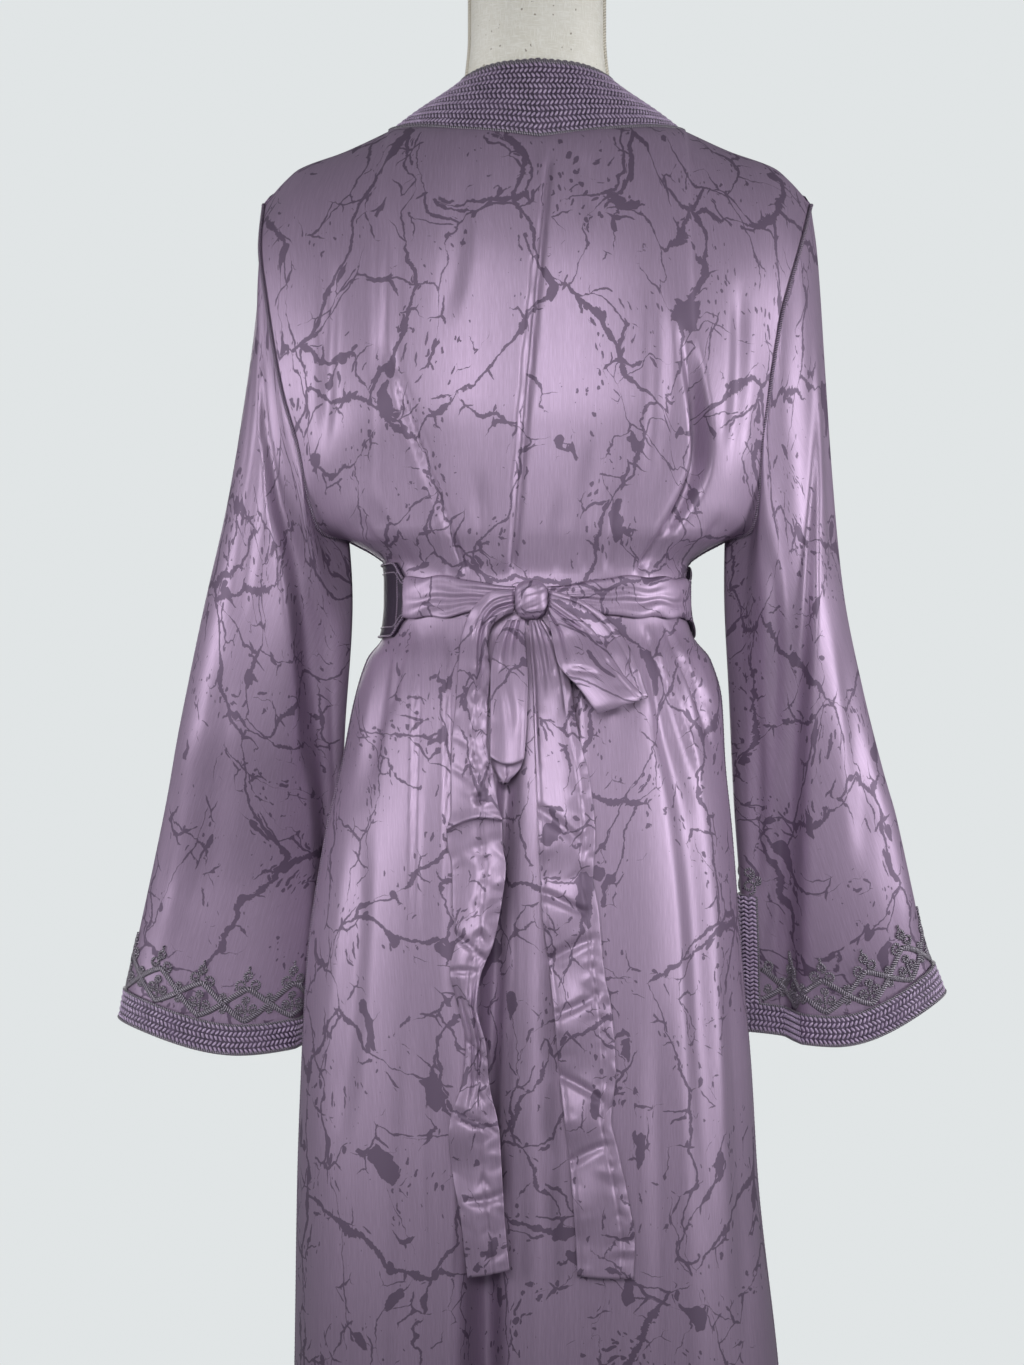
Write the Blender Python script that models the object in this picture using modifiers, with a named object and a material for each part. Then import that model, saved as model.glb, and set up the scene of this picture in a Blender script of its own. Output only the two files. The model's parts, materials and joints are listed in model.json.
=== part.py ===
"""A Moroccan kaftan, tied at the waist with a bow behind, on a limbless dress form.

Metres, +Z up, the floor at zero, the wearer facing -Y with the left hand at +X.
"""

import math

import bmesh
import bpy
import numpy as np

CLOTH = 0.0012  # satin, lining and turnings together
BRAID = 0.0020  # flat braided band
BELT = 0.0030  # stiffened belt panel
TUBE = 0.0020  # pressed tube of the ties and the bow
SEAM = 0.00028  # each side of a seam
SHOULDER_SEAM = 0.0009  # each side of a seam along a ridge, where the walls' inner edges come close
CORNER_SEAM = 0.0009  # each side of the armhole, where walls meet at an angle
REST = 0.0004  # between a panel and what is sewn on it
STAND_GAP = 0.0003  # between the pieces of the stand

SQUARENESS = 0.87  # power on sine and cosine: below 1 squares a ring's corners
ARM_LEVEL = 1.115
BACK_COLUMNS, FRONT_COLUMNS, SLEEVE_COLUMNS = 48, 14, 22
BAND_WIDTH = 0.035  # each front band
NECK_SHARE = 14 / 24  # part of the half back that the collar takes along the top
BAND_TOP = 0.29  # rise at which the front band gives way to the collar
BAND_CROWN = 0.0012  # how far the front bands stand forward in the middle
FLATTENED = 0.35  # rise by which the cloth has left the waist's ring
BLADE_TAPER, CHEST_TAPER = 0.4, 0.5  # depth lost from the middle to the sides
SIDE_PULL = (2.5, 3, 2.5)  # powers that spread the armhole's shape over a panel, along x, y and z
NECK_PULL = (1.5, 2, 1.5)
EDGE_FADE = 12  # power: folds die out close to a panel's edges
BELT_FADES = (0.035, 0.025)  # heights over which folds grow below and above the belt

SKIRT_HEIGHTS = (0.04, 0.19, 0.34, 0.48, 0.60, 0.70, 0.79, 0.86, 0.92, 0.97, 1.01)
WAIST_HEIGHTS = (1.03, 1.045, 1.0615, 1.08, 1.093, 1.103, ARM_LEVEL)
RISES = (0, 0.05, 0.11, 0.19, 0.29, 0.41, 0.54, 0.67, 0.79, 0.88, 0.95, 1)

BODY_RINGS = (  # height, left, right, back, front
    (0.040, 0.2220, 0.2350, 0.1720, 0.1700),
    (0.200, 0.2180, 0.2260, 0.1680, 0.1630),
    (0.386, 0.2130, 0.2120, 0.1620, 0.1560),
    (0.550, 0.2105, 0.1940, 0.1570, 0.1500),
    (0.650, 0.2070, 0.1880, 0.1540, 0.1460),
    (0.745, 0.2020, 0.1800, 0.1510, 0.1420),
    (0.860, 0.1850, 0.1710, 0.1480, 0.1360),
    (0.920, 0.1710, 0.1650, 0.1420, 0.1300),
    (0.975, 0.1600, 0.1620, 0.1310, 0.1220),
    (1.010, 0.1490, 0.1520, 0.1170, 0.1120),
    (1.030, 0.1355, 0.1375, 0.1060, 0.1040),
    (1.045, 0.1325, 0.1330, 0.1030, 0.1015),
    (1.0615, 0.1315, 0.1315, 0.1020, 0.1010),
    (1.080, 0.1315, 0.1315, 0.1022, 0.1012),
    (1.093, 0.1330, 0.1330, 0.1040, 0.1020),
    (1.103, 0.1440, 0.1440, 0.1090, 0.1060),
    (1.115, 0.1660, 0.1660, 0.1180, 0.1140),
)
ARMHOLES = {  # rise, height, x, depth behind the shoulder line
    "left": (
        (0.00, 1.1150, 0.1660, 0.000),
        (0.08, 1.1200, 0.1880, 0.028),
        (0.20, 1.1450, 0.1980, 0.046),
        (0.35, 1.1900, 0.2060, 0.056),
        (0.50, 1.2400, 0.2200, 0.058),
        (0.70, 1.3175, 0.2340, 0.050),
        (0.85, 1.3700, 0.2410, 0.036),
        (1.00, 1.4126, 0.2415, 0.000),
    ),
    "right": (
        (0.00, 1.1150, 0.1660, 0.000),
        (0.08, 1.1220, 0.1870, 0.028),
        (0.20, 1.1500, 0.1920, 0.046),
        (0.35, 1.1900, 0.1935, 0.055),
        (0.50, 1.2350, 0.1985, 0.059),
        (0.70, 1.3050, 0.2100, 0.056),
        (0.85, 1.3600, 0.2260, 0.042),
        (1.00, 1.4126, 0.2425, 0.000),
    ),
}
FRONT_ARMHOLE = 0.007  # how much further out the front's armhole lies at its middle
SHOULDER_LINE = (  # x, height
    (0.121, 1.4810),
    (0.130, 1.4770),
    (0.170, 1.4595),
    (0.210, 1.4454),
    (0.223, 1.4347),
    (0.243, 1.4126),
)
COLLAR = (  # station, outer edge x, y, height, inner edge x, y, height
    (0.00, 0.000, 0.086, 1.4526, 0.0000, 0.0640, 1.5220),
    (0.31, 0.040, 0.080, 1.4590, 0.0300, 0.0575, 1.5210),
    (0.62, 0.080, 0.062, 1.4655, 0.0540, 0.0400, 1.5190),
    (0.85, 0.112, 0.034, 1.4725, 0.0660, 0.0180, 1.5170),
    (1.00, 0.130, 0.000, 1.4770, 0.0690, -0.0020, 1.5150),
    (1.20, 0.127, -0.040, 1.4520, 0.0700, -0.0320, 1.4980),
    (1.40, 0.113, -0.072, 1.4200, 0.0630, -0.0650, 1.4600),
    (1.65, 0.085, -0.103, 1.3650, 0.0400, -0.0960, 1.3850),
    (2.00, 0.035, -0.138, 1.2500, 0.0004, -0.1385, 1.2700),
)
BACK_DEPTH = ((0, 0.118), (0.3, 0.125), (0.64, 0.124), (1, 0.110))  # rise, depth
FRONT_DEPTH = ((0, 0.114), (0.3, 0.136), (0.55, 0.132), (1, 0.105))
BUST = (0.45, 0.42, 0.24, 0.22, 0.014)  # place across and up, reach across and up, height
BAND_DEPTH = ((1.115, 0.1126), (1.14, 0.1210), (1.19, 0.1310), (1.25, 0.1380))

SLEEVES = {  # height, inner x, outer x, half depth, centre y
    "left": (
        (0.650, 0.1880, 0.3860, 0.050, -0.090),
        (0.680, 0.1870, 0.3820, 0.050, -0.088),
        (0.800, 0.1800, 0.3560, 0.052, -0.076),
        (0.886, 0.1760, 0.3340, 0.055, -0.046),
        (0.950, 0.1720, 0.3190, 0.058, -0.020),
        (1.060, 0.1650, 0.2940, 0.060, -0.004),
        (1.150, 0.1720, 0.2730, 0.060, 0.000),
        (1.240, 0.1900, 0.2580, 0.058, 0.000),
        (1.330, 0.2000, 0.2470, 0.050, 0.000),
        (1.410, 0.2000, 0.2415, 0.030, 0.000),
    ),
    "right": (
        (0.660, 0.1880, 0.3820, 0.052, -0.066),
        (0.709, 0.1870, 0.3690, 0.052, -0.060),
        (0.750, 0.1860, 0.3520, 0.053, -0.048),
        (0.800, 0.1835, 0.3380, 0.054, -0.038),
        (0.880, 0.1770, 0.3180, 0.056, -0.026),
        (0.983, 0.1710, 0.2900, 0.058, -0.010),
        (1.072, 0.1665, 0.2710, 0.060, 0.000),
        (1.178, 0.1700, 0.2610, 0.060, 0.000),
        (1.267, 0.1850, 0.2550, 0.056, 0.000),
        (1.370, 0.2000, 0.2480, 0.044, 0.000),
        (1.410, 0.2050, 0.2425, 0.030, 0.000),
    ),
}
SLEEVE_FOLDS = {  # height, x of the fold behind, how far the inner part lies back
    "left": (
        (0.660, 0.246, 0.030),
        (0.800, 0.236, 0.024),
        (0.975, 0.222, 0.016),
        (1.070, 0.2155, 0.014),
        (1.156, 0.2295, 0.012),
        (1.240, 0.2370, 0.010),
        (1.330, 0.2400, 0.000),
    ),
    "right": (
        (0.690, 0.2325, 0.040),
        (0.860, 0.2300, 0.026),
        (1.098, 0.2370, 0.016),
        (1.220, 0.2430, 0.010),
        (1.330, 0.2400, 0.000),
    ),
}
SEAM_TURNS = {  # rise, turn round the sleeve at which the armhole lies, in degrees
    "left": ((0, 0), (0.08, 25), (0.2, 45), (0.35, 64), (0.5, 82), (0.7, 112), (0.85, 140), (1, 180)),
    "right": ((0, 0), (0.08, 22), (0.2, 40), (0.35, 50), (0.5, 56), (0.7, 70), (0.85, 100), (1, 180)),
}
WRIST = {"left": (0.664, 0.655, 0.682), "right": (0.675, 0.667, 0.709)}  # inner, middle, outer
VENT, BAND_HEIGHT = 0.125, 0.026
WRIST_STEPS = (VENT, 0.090, 0.055, BAND_HEIGHT, 0)
SLEEVE_STEPS = 11  # rows of the sleeve above its vent
VENT_GAP = 0.0012
VENT_OPENS = 0.03  # height over which the vent's edges part
ARMHOLE_FALL = 0.45  # part of the sleeve's length over which the armhole's turns even out
FOLD_FALL = 0.2  # part of the length over which the fold behind the sleeve grows
FOLD_SHARE = 0.75  # sine of the turn at which the fold is whole
FOLD_HALF = 0.008  # half the width of the step between a sleeve's two parts

FOLDS = (  # top, foot, x at top, middle, foot, half width at top, foot, depth at top, middle, foot
    (1.040, 0.040, 0.018, 0.046, 0.048, 0.008, 0.038, 0.000, -0.030, -0.045),
    (1.040, 0.040, 0.003, 0.002, 0.000, 0.016, 0.026, 0.000, 0.006, 0.010),
    (1.020, 0.520, -0.100, -0.135, -0.142, 0.020, 0.018, 0.000, -0.007, 0.000),
    (0.800, 0.040, 0.110, 0.122, 0.130, 0.030, 0.045, 0.000, 0.004, 0.009),
    (0.760, 0.040, -0.070, -0.062, -0.060, 0.030, 0.040, 0.000, -0.005, -0.012),
    (0.720, 0.040, -0.120, -0.135, -0.145, 0.025, 0.040, 0.000, 0.004, 0.008),
    (1.300, 1.085, 0.125, 0.088, 0.063, 0.016, 0.011, -0.001, -0.009, -0.006),
    (1.160, 1.085, 0.145, 0.125, 0.100, 0.012, 0.010, 0.000, -0.006, -0.003),
    (1.430, 1.085, -0.003, 0.013, 0.019, 0.008, 0.008, -0.001, -0.005, -0.006),
    (1.290, 1.085, -0.128, -0.128, -0.088, 0.022, 0.014, -0.001, -0.015, -0.008),
)
PLEATS = (  # x under the belt, x at the foot, height of the foot, depth
    (0.112, 0.140, 0.880, 0.006),
    (0.095, 0.112, 0.860, 0.005),
    (0.075, 0.082, 0.900, 0.004),
    (-0.020, -0.030, 0.900, 0.004),
    (-0.045, -0.056, 0.880, 0.004),
    (-0.089, -0.133, 0.870, 0.006),
    (-0.118, -0.150, 0.900, 0.005),
)
FRONT_FOLDS = (  # the same columns, for both fronts
    (1.030, 0.820, 0.055, 0.060, 0.066, 0.010, 0.016, 0.000, -0.005, 0.000),
    (1.030, 0.780, 0.085, 0.098, 0.110, 0.010, 0.018, 0.000, -0.006, 0.000),
    (0.900, 0.040, 0.075, 0.090, 0.100, 0.030, 0.045, 0.000, -0.010, -0.020),
    (0.900, 0.040, 0.140, 0.150, 0.155, 0.030, 0.045, 0.000, 0.005, 0.010),
    (1.230, 1.085, 0.100, 0.082, 0.070, 0.018, 0.012, 0.000, -0.009, -0.005),
)

BELT_LOW, BELT_HIGH = 1.030, 1.093
BELT_ENDS = (0.625, 3.150)  # turns round the body, from the left end past the front to the right
BELT_TAPER = 0.09  # turns over which the panel widens from each end
TIE_GAP = 0.006  # turns between the panel and a tie
TIE_TURNS = {"left": 0.068, "right": 3.977}  # where the ties meet under the knot
TIE_ROWS = (1.045, 1.0615, 1.080)
TIE_GATHER, TIE_NARROWED = 0.2, 0.45  # turns over which a tie narrows to the knot, and by how much
KNOT = (0.006, 0.1160, 1.0590)
KNOT_SIZE = (0.0158, 0.0135, 0.0165)  # half of each side
KNOT_ROUND, KNOT_WAIST = 0.8, 0.10  # power that squares it, and how far its middle is drawn in
RIBBON_CROWN = 0.0015

TAIL_LEFT = (  # outer edge x, height, inner edge x, height, lift from the skirt
    (0.0207, 1.0680, 0.0207, 1.0490, 0.0105),
    (0.0370, 1.0660, 0.0310, 1.0440, 0.0110),
    (0.0510, 1.0570, 0.0390, 1.0370, 0.0100),
    (0.0610, 1.0420, 0.0415, 1.0270, 0.007),
    (0.0650, 1.0250, 0.0400, 1.0160, 0.006),
    (0.0670, 1.0000, 0.0395, 1.0000, 0.005),
    (0.0700, 0.9700, 0.0400, 0.9700, 0.005),
    (0.0730, 0.9400, 0.0400, 0.9400, 0.004),
    (0.0730, 0.9080, 0.0390, 0.9080, 0.005),
    (0.0750, 0.8730, 0.0300, 0.8760, 0.008),
    (0.0720, 0.8350, 0.0300, 0.8350, 0.003),
    (0.0680, 0.7900, 0.0330, 0.7900, 0.005),
    (0.0720, 0.7500, 0.0505, 0.7480, 0.012),
    (0.0640, 0.7150, 0.0440, 0.7130, 0.010),
    (0.0600, 0.6900, 0.0405, 0.6900, 0.008),
    (0.0650, 0.6600, 0.0390, 0.6600, 0.004),
    (0.0730, 0.6200, 0.0320, 0.6200, 0.003),
    (0.0720, 0.5900, 0.0300, 0.5900, 0.004),
    (0.0660, 0.5500, 0.0300, 0.5500, 0.006),
    (0.0580, 0.5050, 0.0240, 0.5120, 0.003),
)
TAIL_RIGHT = (
    (0.0070, 1.0422, -0.0060, 1.0422, 0.009),
    (0.0060, 1.0200, -0.0200, 1.0200, 0.006),
    (0.0050, 0.9900, -0.0260, 0.9900, 0.004),
    (0.0040, 0.9500, -0.0310, 0.9500, 0.003),
    (0.0040, 0.9000, -0.0400, 0.9000, 0.003),
    (0.0030, 0.8500, -0.0440, 0.8500, 0.004),
    (-0.0010, 0.8000, -0.0480, 0.8000, 0.003),
    (-0.0070, 0.7500, -0.0510, 0.7500, 0.005),
    (-0.0130, 0.7000, -0.0560, 0.7000, 0.003),
    (-0.0180, 0.6500, -0.0600, 0.6500, 0.005),
    (-0.0210, 0.6000, -0.0650, 0.6000, 0.003),
    (-0.0270, 0.5500, -0.0700, 0.5500, 0.005),
    (-0.0310, 0.5080, -0.0770, 0.5000, 0.004),
)
LOOP_LEFT = (
    (0.0280, 1.0400, 0.0100, 1.0424, 0.014),
    (0.0360, 1.0180, 0.0110, 1.0180, 0.016),
    (0.0365, 0.9950, 0.0090, 0.9950, 0.015),
    (0.0365, 0.9600, 0.0100, 0.9600, 0.015),
    (0.0360, 0.9330, 0.0130, 0.9330, 0.015),
    (0.0330, 0.9140, 0.0180, 0.9120, 0.011),
    (0.0340, 0.9220, 0.0160, 0.9200, 0.005),
    (0.0365, 0.9480, 0.0120, 0.9480, 0.003),
    (0.0365, 0.9750, 0.0110, 0.9750, 0.003),
    (0.0350, 1.0050, 0.0120, 1.0050, 0.003),
    (0.0330, 1.0290, 0.0180, 1.0290, 0.004),
)
LOOP_RIGHT = (
    (-0.0082, 1.0480, -0.0096, 1.0640, 0.0150),
    (-0.0110, 1.0284, -0.0471, 1.0330, 0.022),
    (-0.0156, 1.0062, -0.0594, 1.0140, 0.021),
    (-0.0334, 0.9843, -0.0717, 0.9960, 0.020),
    (-0.0445, 0.9690, -0.0850, 0.9810, 0.020),
    (-0.0480, 0.9640, -0.0896, 0.9770, 0.015),
    (-0.0450, 0.9700, -0.0880, 0.9850, 0.010),
    (-0.0400, 0.9850, -0.0850, 1.0000, 0.009),
    (-0.0360, 1.0050, -0.0759, 1.0200, 0.009),
    (-0.0260, 1.0250, -0.0600, 1.0400, 0.009),
    (-0.0180, 1.0400, -0.0330, 1.0600, 0.009),
    (-0.0082, 1.0480, -0.0096, 1.0660, 0.008),
)

FORM_RINGS = (  # height, left, right, back, front
    (0.790, 0.1480, 0.1480, 0.1100, 0.0980),
    (0.830, 0.1590, 0.1590, 0.1210, 0.1030),
    (0.880, 0.1640, 0.1640, 0.1250, 0.1050),
    (0.940, 0.1560, 0.1560, 0.1160, 0.1020),
    (0.990, 0.1400, 0.1400, 0.1050, 0.0990),
    (1.030, 0.1310, 0.1310, 0.1000, 0.0970),
    (1.0615, 0.1297, 0.1297, 0.1002, 0.0984),
    (1.090, 0.1280, 0.1280, 0.0940, 0.0940),
    (1.130, 0.1340, 0.1340, 0.0910, 0.0970),
    (1.180, 0.1470, 0.1470, 0.0920, 0.1080),
    (1.240, 0.1620, 0.1620, 0.0950, 0.1180),
    (1.310, 0.1760, 0.1760, 0.0960, 0.1060),
    (1.370, 0.1870, 0.1870, 0.0930, 0.0880),
    (1.410, 0.1880, 0.1880, 0.0850, 0.0740),
    (1.435, 0.1720, 0.1720, 0.0710, 0.0580),
    (1.450, 0.1400, 0.1400, 0.0570, 0.0470),
    (1.462, 0.1080, 0.1080, 0.0500, 0.0420),
    (1.474, 0.0820, 0.0820, 0.0500, 0.0450),
    (1.490, 0.0670, 0.0670, 0.0530, 0.0500),
    (1.520, 0.0620, 0.0620, 0.0560, 0.0530),
    (1.560, 0.0585, 0.0585, 0.0560, 0.0530),
    (1.612, 0.0585, 0.0585, 0.0560, 0.0530),
    (1.625, 0.0420, 0.0420, 0.0400, 0.0380),
)
FORM_COLUMNS = 24
POLE_RADIUS, FOOT_RADIUS, FOOT_HEIGHT = 0.014, 0.165, 0.012

COLOURS = {  # base colour, roughness, metallic
    "satin": ((0.235, 0.150, 0.255), 0.42, 0.0),
    "braid": ((0.150, 0.085, 0.190), 0.55, 0.0),
    "belt_cloth": ((0.050, 0.028, 0.070), 0.50, 0.0),
    "form_cloth": ((0.800, 0.780, 0.720), 0.85, 0.0),
    "stand_metal": ((0.620, 0.620, 0.630), 0.35, 0.8),
}


def smooth(table, at):
    """A table's other columns at these values of its first, on curves that never overshoot."""
    rows = np.array(table, float)
    start, values = rows[:, 0], rows[:, 1:]
    step = np.diff(start)[:, None]
    slope = np.diff(values, axis=0) / step
    same_way = slope[:-1] * slope[1:] > 0
    both = np.where(same_way, slope[:-1] + slope[1:], 1)
    bend = np.where(same_way, 2 * slope[:-1] * slope[1:] / both, 0)
    tangent = np.vstack([slope[:1], bend, slope[-1:]])
    at = np.clip(np.asarray(at, float), start[0], start[-1])
    i = np.clip(np.searchsorted(start, at, side="right") - 1, 0, len(start) - 2)
    width = step[i]
    t = (at - start[i])[..., None] / width
    rest = 1 - t
    ends = values[i] * (1 + 2 * t) * rest**2 + values[i + 1] * (3 - 2 * t) * t**2
    return ends + width * t * rest * (tangent[i] * rest - tangent[i + 1] * t)


def ease(value):
    """0 below 0 and 1 above 1, with a soft start and end."""
    value = np.clip(value, 0, 1)
    return value * value * (3 - 2 * value)


def rings(table, around, height):
    """Points of a table's rings. Around is 0 at the centre back, 1 at the left, 2 in front, 3 at the right."""
    around, height = np.broadcast_arrays(around, height)
    left, right, back, front = np.moveaxis(smooth(table, height), -1, 0)
    sine, cosine = np.sin(around * math.pi / 2), np.cos(around * math.pi / 2)
    x = np.where(sine > 0, left, -right) * abs(sine) ** SQUARENESS
    y = np.where(cosine > 0, back, -front) * abs(cosine) ** SQUARENESS
    return np.stack([x, y, height], -1)


def skirt_depth(x, height):
    """How far behind the middle the back's rings lie at this x."""
    left, right, back, _ = np.moveaxis(smooth(BODY_RINGS, height), -1, 0)
    share = abs(x) / np.where(x > 0, left, right)
    return back * (1 - share ** (2 / SQUARENESS)) ** (SQUARENESS / 2)


def collar_edges(station):
    """Outer and inner edge of the collar, at stations from -2 at the right of the V to 2 at its left."""
    both = smooth(COLLAR, abs(station))
    outer, inner = both[..., :3].copy(), both[..., 3:].copy()
    outer[..., 0] *= np.sign(station)
    inner[..., 0] *= np.sign(station)
    return outer, inner


def shoulder(x):
    return np.stack([x, np.zeros_like(x), smooth(SHOULDER_LINE, abs(x))[..., 0]], -1)


def armhole(side, rise, behind=True):
    """The seam of back or front with the sleeve, as x, y and height."""
    height, x, depth = np.moveaxis(smooth(ARMHOLES[side], rise), -1, 0)
    sign = 1 if side == "left" else -1
    if not behind:
        x, depth = x + FRONT_ARMHOLE * np.sin(math.pi * rise), -0.95 * depth
    return np.stack([sign * x, depth, height], -1)


def roundness(rise):
    """How much of the depth is left as the cloth turns over the shoulder."""
    return np.sqrt(1 - rise**4)


def back_top(across):
    """Top edge of the back: the collar's edge in the middle, the shoulder seam at each end."""
    tip = np.where(across > 0, ARMHOLES["left"][-1][2], ARMHOLES["right"][-1][2])
    neck, _ = collar_edges(across / NECK_SHARE)
    along = (abs(across) - NECK_SHARE) / (1 - NECK_SHARE)
    neck_x = COLLAR[4][1]
    seam = shoulder(np.sign(across) * (neck_x + np.clip(along, 0, 1) * (tip - neck_x)))
    return np.where(abs(across)[:, None] <= NECK_SHARE + 1e-9, neck, seam)


def upper_back(across, rise):
    """The back above the arms' level. Across is -1 at the right side and 1 at the left."""
    base, top = rings(BODY_RINGS, across, ARM_LEVEL), back_top(across)
    rise = rise[:, None]
    grid = base + rise[..., None] * (top - base)
    turned, flat = roundness(rise), ease(rise / FLATTENED)
    blade = smooth(BACK_DEPTH, rise)[..., 0] * (1 - BLADE_TAPER * abs(across) ** 2.5)
    depth = base[:, 1] * (1 - flat) + blade * flat
    grid[..., 1] = depth * turned + top[:, 1] * (1 - turned)
    for side, column in (("right", 0), ("left", -1)):
        apart = armhole(side, rise[:, 0]) - grid[:, column]
        near = np.clip(across if side == "left" else -across, 0, 1)
        grid = grid + apart[:, None] * near[:, None] ** SIDE_PULL
    return grid


def front_inner(rise):
    """Inner edge of the left front, along its band and then along the collar."""
    low = np.clip(rise / BAND_TOP, 0, 1)
    height = ARM_LEVEL + low * (COLLAR[-1][3] - ARM_LEVEL)
    band = np.stack([0 * height + BAND_WIDTH, -smooth(BAND_DEPTH, height)[..., 0], height], -1)
    neck, _ = collar_edges(2 - np.clip((rise - BAND_TOP) / (1 - BAND_TOP), 0, 1))
    return np.where((rise <= BAND_TOP)[:, None], band, neck)


def band_turn(side, height, x):
    """How far round from the centre front a ring is this far from it."""
    half = smooth(BODY_RINGS, height)[..., 0 if side == "left" else 1]
    return np.arcsin((x / half) ** (1 / SQUARENESS)) / (math.pi / 2)


def upper_front(side, out, rise):
    """A front above the arms' level. Out is 0 at the band and 1 at the side seam."""
    sign = 1 if side == "left" else -1
    start = band_turn(side, ARM_LEVEL, BAND_WIDTH)
    turn = 2 - sign * (start + (1 - start) * out)
    base = rings(BODY_RINGS, turn, ARM_LEVEL)
    neck_x, tip = COLLAR[4][1], ARMHOLES[side][-1][2]
    top = shoulder(sign * (neck_x + out * (tip - neck_x)))
    edge, inner = armhole(side, rise, behind=False), front_inner(rise) * (sign, 1, 1)
    rise = rise[:, None]
    grid = base + rise[..., None] * (top - base)
    turned, flat = roundness(rise), ease(rise / FLATTENED)
    chest = smooth(FRONT_DEPTH, rise)[..., 0] * (1 - CHEST_TAPER * out**2)
    place, level, reach, rise_reach, height = BUST
    chest = chest + height * np.exp(-(((out - place) / reach) ** 2) - ((rise - level) / rise_reach) ** 2)
    grid[..., 1] = (base[:, 1] * (1 - flat) - chest * flat) * turned
    at_edge, at_inner = edge - grid[:, -1], inner - grid[:, 0]
    grid = grid + at_edge[:, None] * out[:, None] ** SIDE_PULL
    return grid + at_inner[:, None] * (1 - out[:, None]) ** NECK_PULL


def fold(table, x, height):
    """Depth of a table's folds at this x and height."""
    total = np.zeros(np.broadcast(x, height).shape)
    for top, foot, x0, x1, x2, wide_top, wide_foot, deep0, deep1, deep2 in table:
        down = (top - height) / (top - foot)
        line = smooth(((0, x0, deep0), (0.5, x1, deep1), (1, x2, deep2)), down)
        half = wide_top + (wide_foot - wide_top) * np.clip(down, 0, 1)
        off = np.clip((x - line[..., 0]) / half, -1, 1)
        shown = (down >= 0) & (down <= 1)
        total = total + shown * line[..., 1] * np.cos(off * math.pi / 2) ** 2
    return total


def pleat_rows():
    """The waist pleats as rows of the fold table."""
    return tuple(
        (1.04, foot, x, (x + end) / 2, end, 0.008, 0.016, 0, -deep, 0) for x, end, foot, deep in PLEATS
    )


def under_belt(height):
    """0 where the belt holds the cloth smooth, 1 above and below it."""
    below, above = BELT_FADES
    return np.maximum(ease((TIE_ROWS[0] - height) / below), ease((height - TIE_ROWS[2]) / above))


def outward(grid):
    """Level direction out of the cloth at each point of a grid whose rows go up and columns turn left to front."""
    out = np.cross(np.gradient(grid, axis=0), np.gradient(grid, axis=1))
    out[..., 2] = 0
    return out / np.linalg.norm(out, axis=-1, keepdims=True)


def folded(grid, table, fade):
    depth = fold(table, abs(grid[..., 0]) if table is FRONT_FOLDS else grid[..., 0], grid[..., 2])
    return grid + outward(grid) * (depth * under_belt(grid[..., 2]) * fade)[..., None]


def trimmed(grid, bottom=0, top=0, first=0, last=0):
    """The grid with its edges drawn back along its own rows and columns."""
    grid = grid.copy()

    def draw(edge, inside, amount):
        along = np.gradient(edge, axis=0)
        along /= np.linalg.norm(along, axis=-1, keepdims=True)
        step = inside - edge
        step -= along * (step * along).sum(-1, keepdims=True)
        return edge + amount * step / np.linalg.norm(step, axis=-1, keepdims=True)

    grid[0] = draw(grid[0], grid[1], bottom)
    grid[-1] = draw(grid[-1], grid[-2], top)
    grid[:, 0] = draw(grid[:, 0], grid[:, 1], first)
    grid[:, -1] = draw(grid[:, -1], grid[:, -2], last)
    return grid


def seams_of_side(rows_low, rows_high):
    """How far a side edge is drawn back at each row: more at the armhole than at the side seam."""
    return np.array([SEAM] * rows_low + [CORNER_SEAM] * rows_high)[:, None]


def material(name):
    found = bpy.data.materials.get(name)
    if found:
        return found
    colour, rough, metal = COLOURS[name]
    made = bpy.data.materials.new(name)
    made.use_nodes = True
    shader = made.node_tree.nodes["Principled BSDF"]
    shader.inputs["Base Color"].default_value = (*colour, 1)
    shader.inputs["Roughness"].default_value = rough
    shader.inputs["Metallic"].default_value = metal
    return made


def finish(obj, name, finish_name):
    obj.name = name
    obj.data.name = name
    obj.data.materials.append(material(finish_name))
    obj.data.shade_smooth()
    obj.data.set_sharp_from_angle(angle=math.radians(50))
    for collection in obj.users_collection:
        collection.objects.unlink(obj)
    bpy.data.collections["kaftan"].objects.link(obj)
    return obj


def numbered(rows, columns, wrap_rows=0):
    """Vertex numbers of a grid, whose last column is its first one on the first wrap_rows rows."""
    index = np.arange(rows * columns).reshape(rows, columns)
    index[:wrap_rows, -1] = index[:wrap_rows, 0]
    return index


def quads(index, flip=False):
    corners = np.stack([index[:-1, :-1], index[1:, :-1], index[1:, 1:], index[:-1, 1:]], -1)
    return corners[..., ::-1] if flip else corners


def sheet(name, grid, faces, thick, finish_name):
    """Cloth: the faces of a grid that are kept, thickened inwards."""
    used, faces = np.unique(faces.reshape(-1, 4), return_inverse=True)
    mesh = bpy.data.meshes.new(name)
    mesh.from_pydata(grid.reshape(-1, 3)[used].tolist(), [], faces.reshape(-1, 4).tolist())
    obj = bpy.data.objects.new(name, mesh)
    bpy.context.scene.collection.objects.link(obj)
    wall = obj.modifiers.new("wall", "SOLIDIFY")
    wall.thickness = thick
    wall.offset = -1
    return finish(obj, name, finish_name)


def panel(name, grid, thick, finish_name):
    return sheet(name, grid, quads(numbered(*grid.shape[:2])), thick, finish_name)


def moved_out(grid, faces, distance):
    """The grid with each point moved out along the mean direction of the faces round it."""
    points, corners = grid.reshape(-1, 3), faces.reshape(-1, 4)
    a, b, c, d = (points[corners[:, k]] for k in range(4))
    facing = np.cross(c - a, d - b)
    total = np.zeros_like(points)
    for k in range(4):
        np.add.at(total, corners[:, k], facing)
    size = np.linalg.norm(total, axis=1, keepdims=True)
    return (points + distance * total / np.where(size > 0, size, 1)).reshape(grid.shape)


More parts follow.
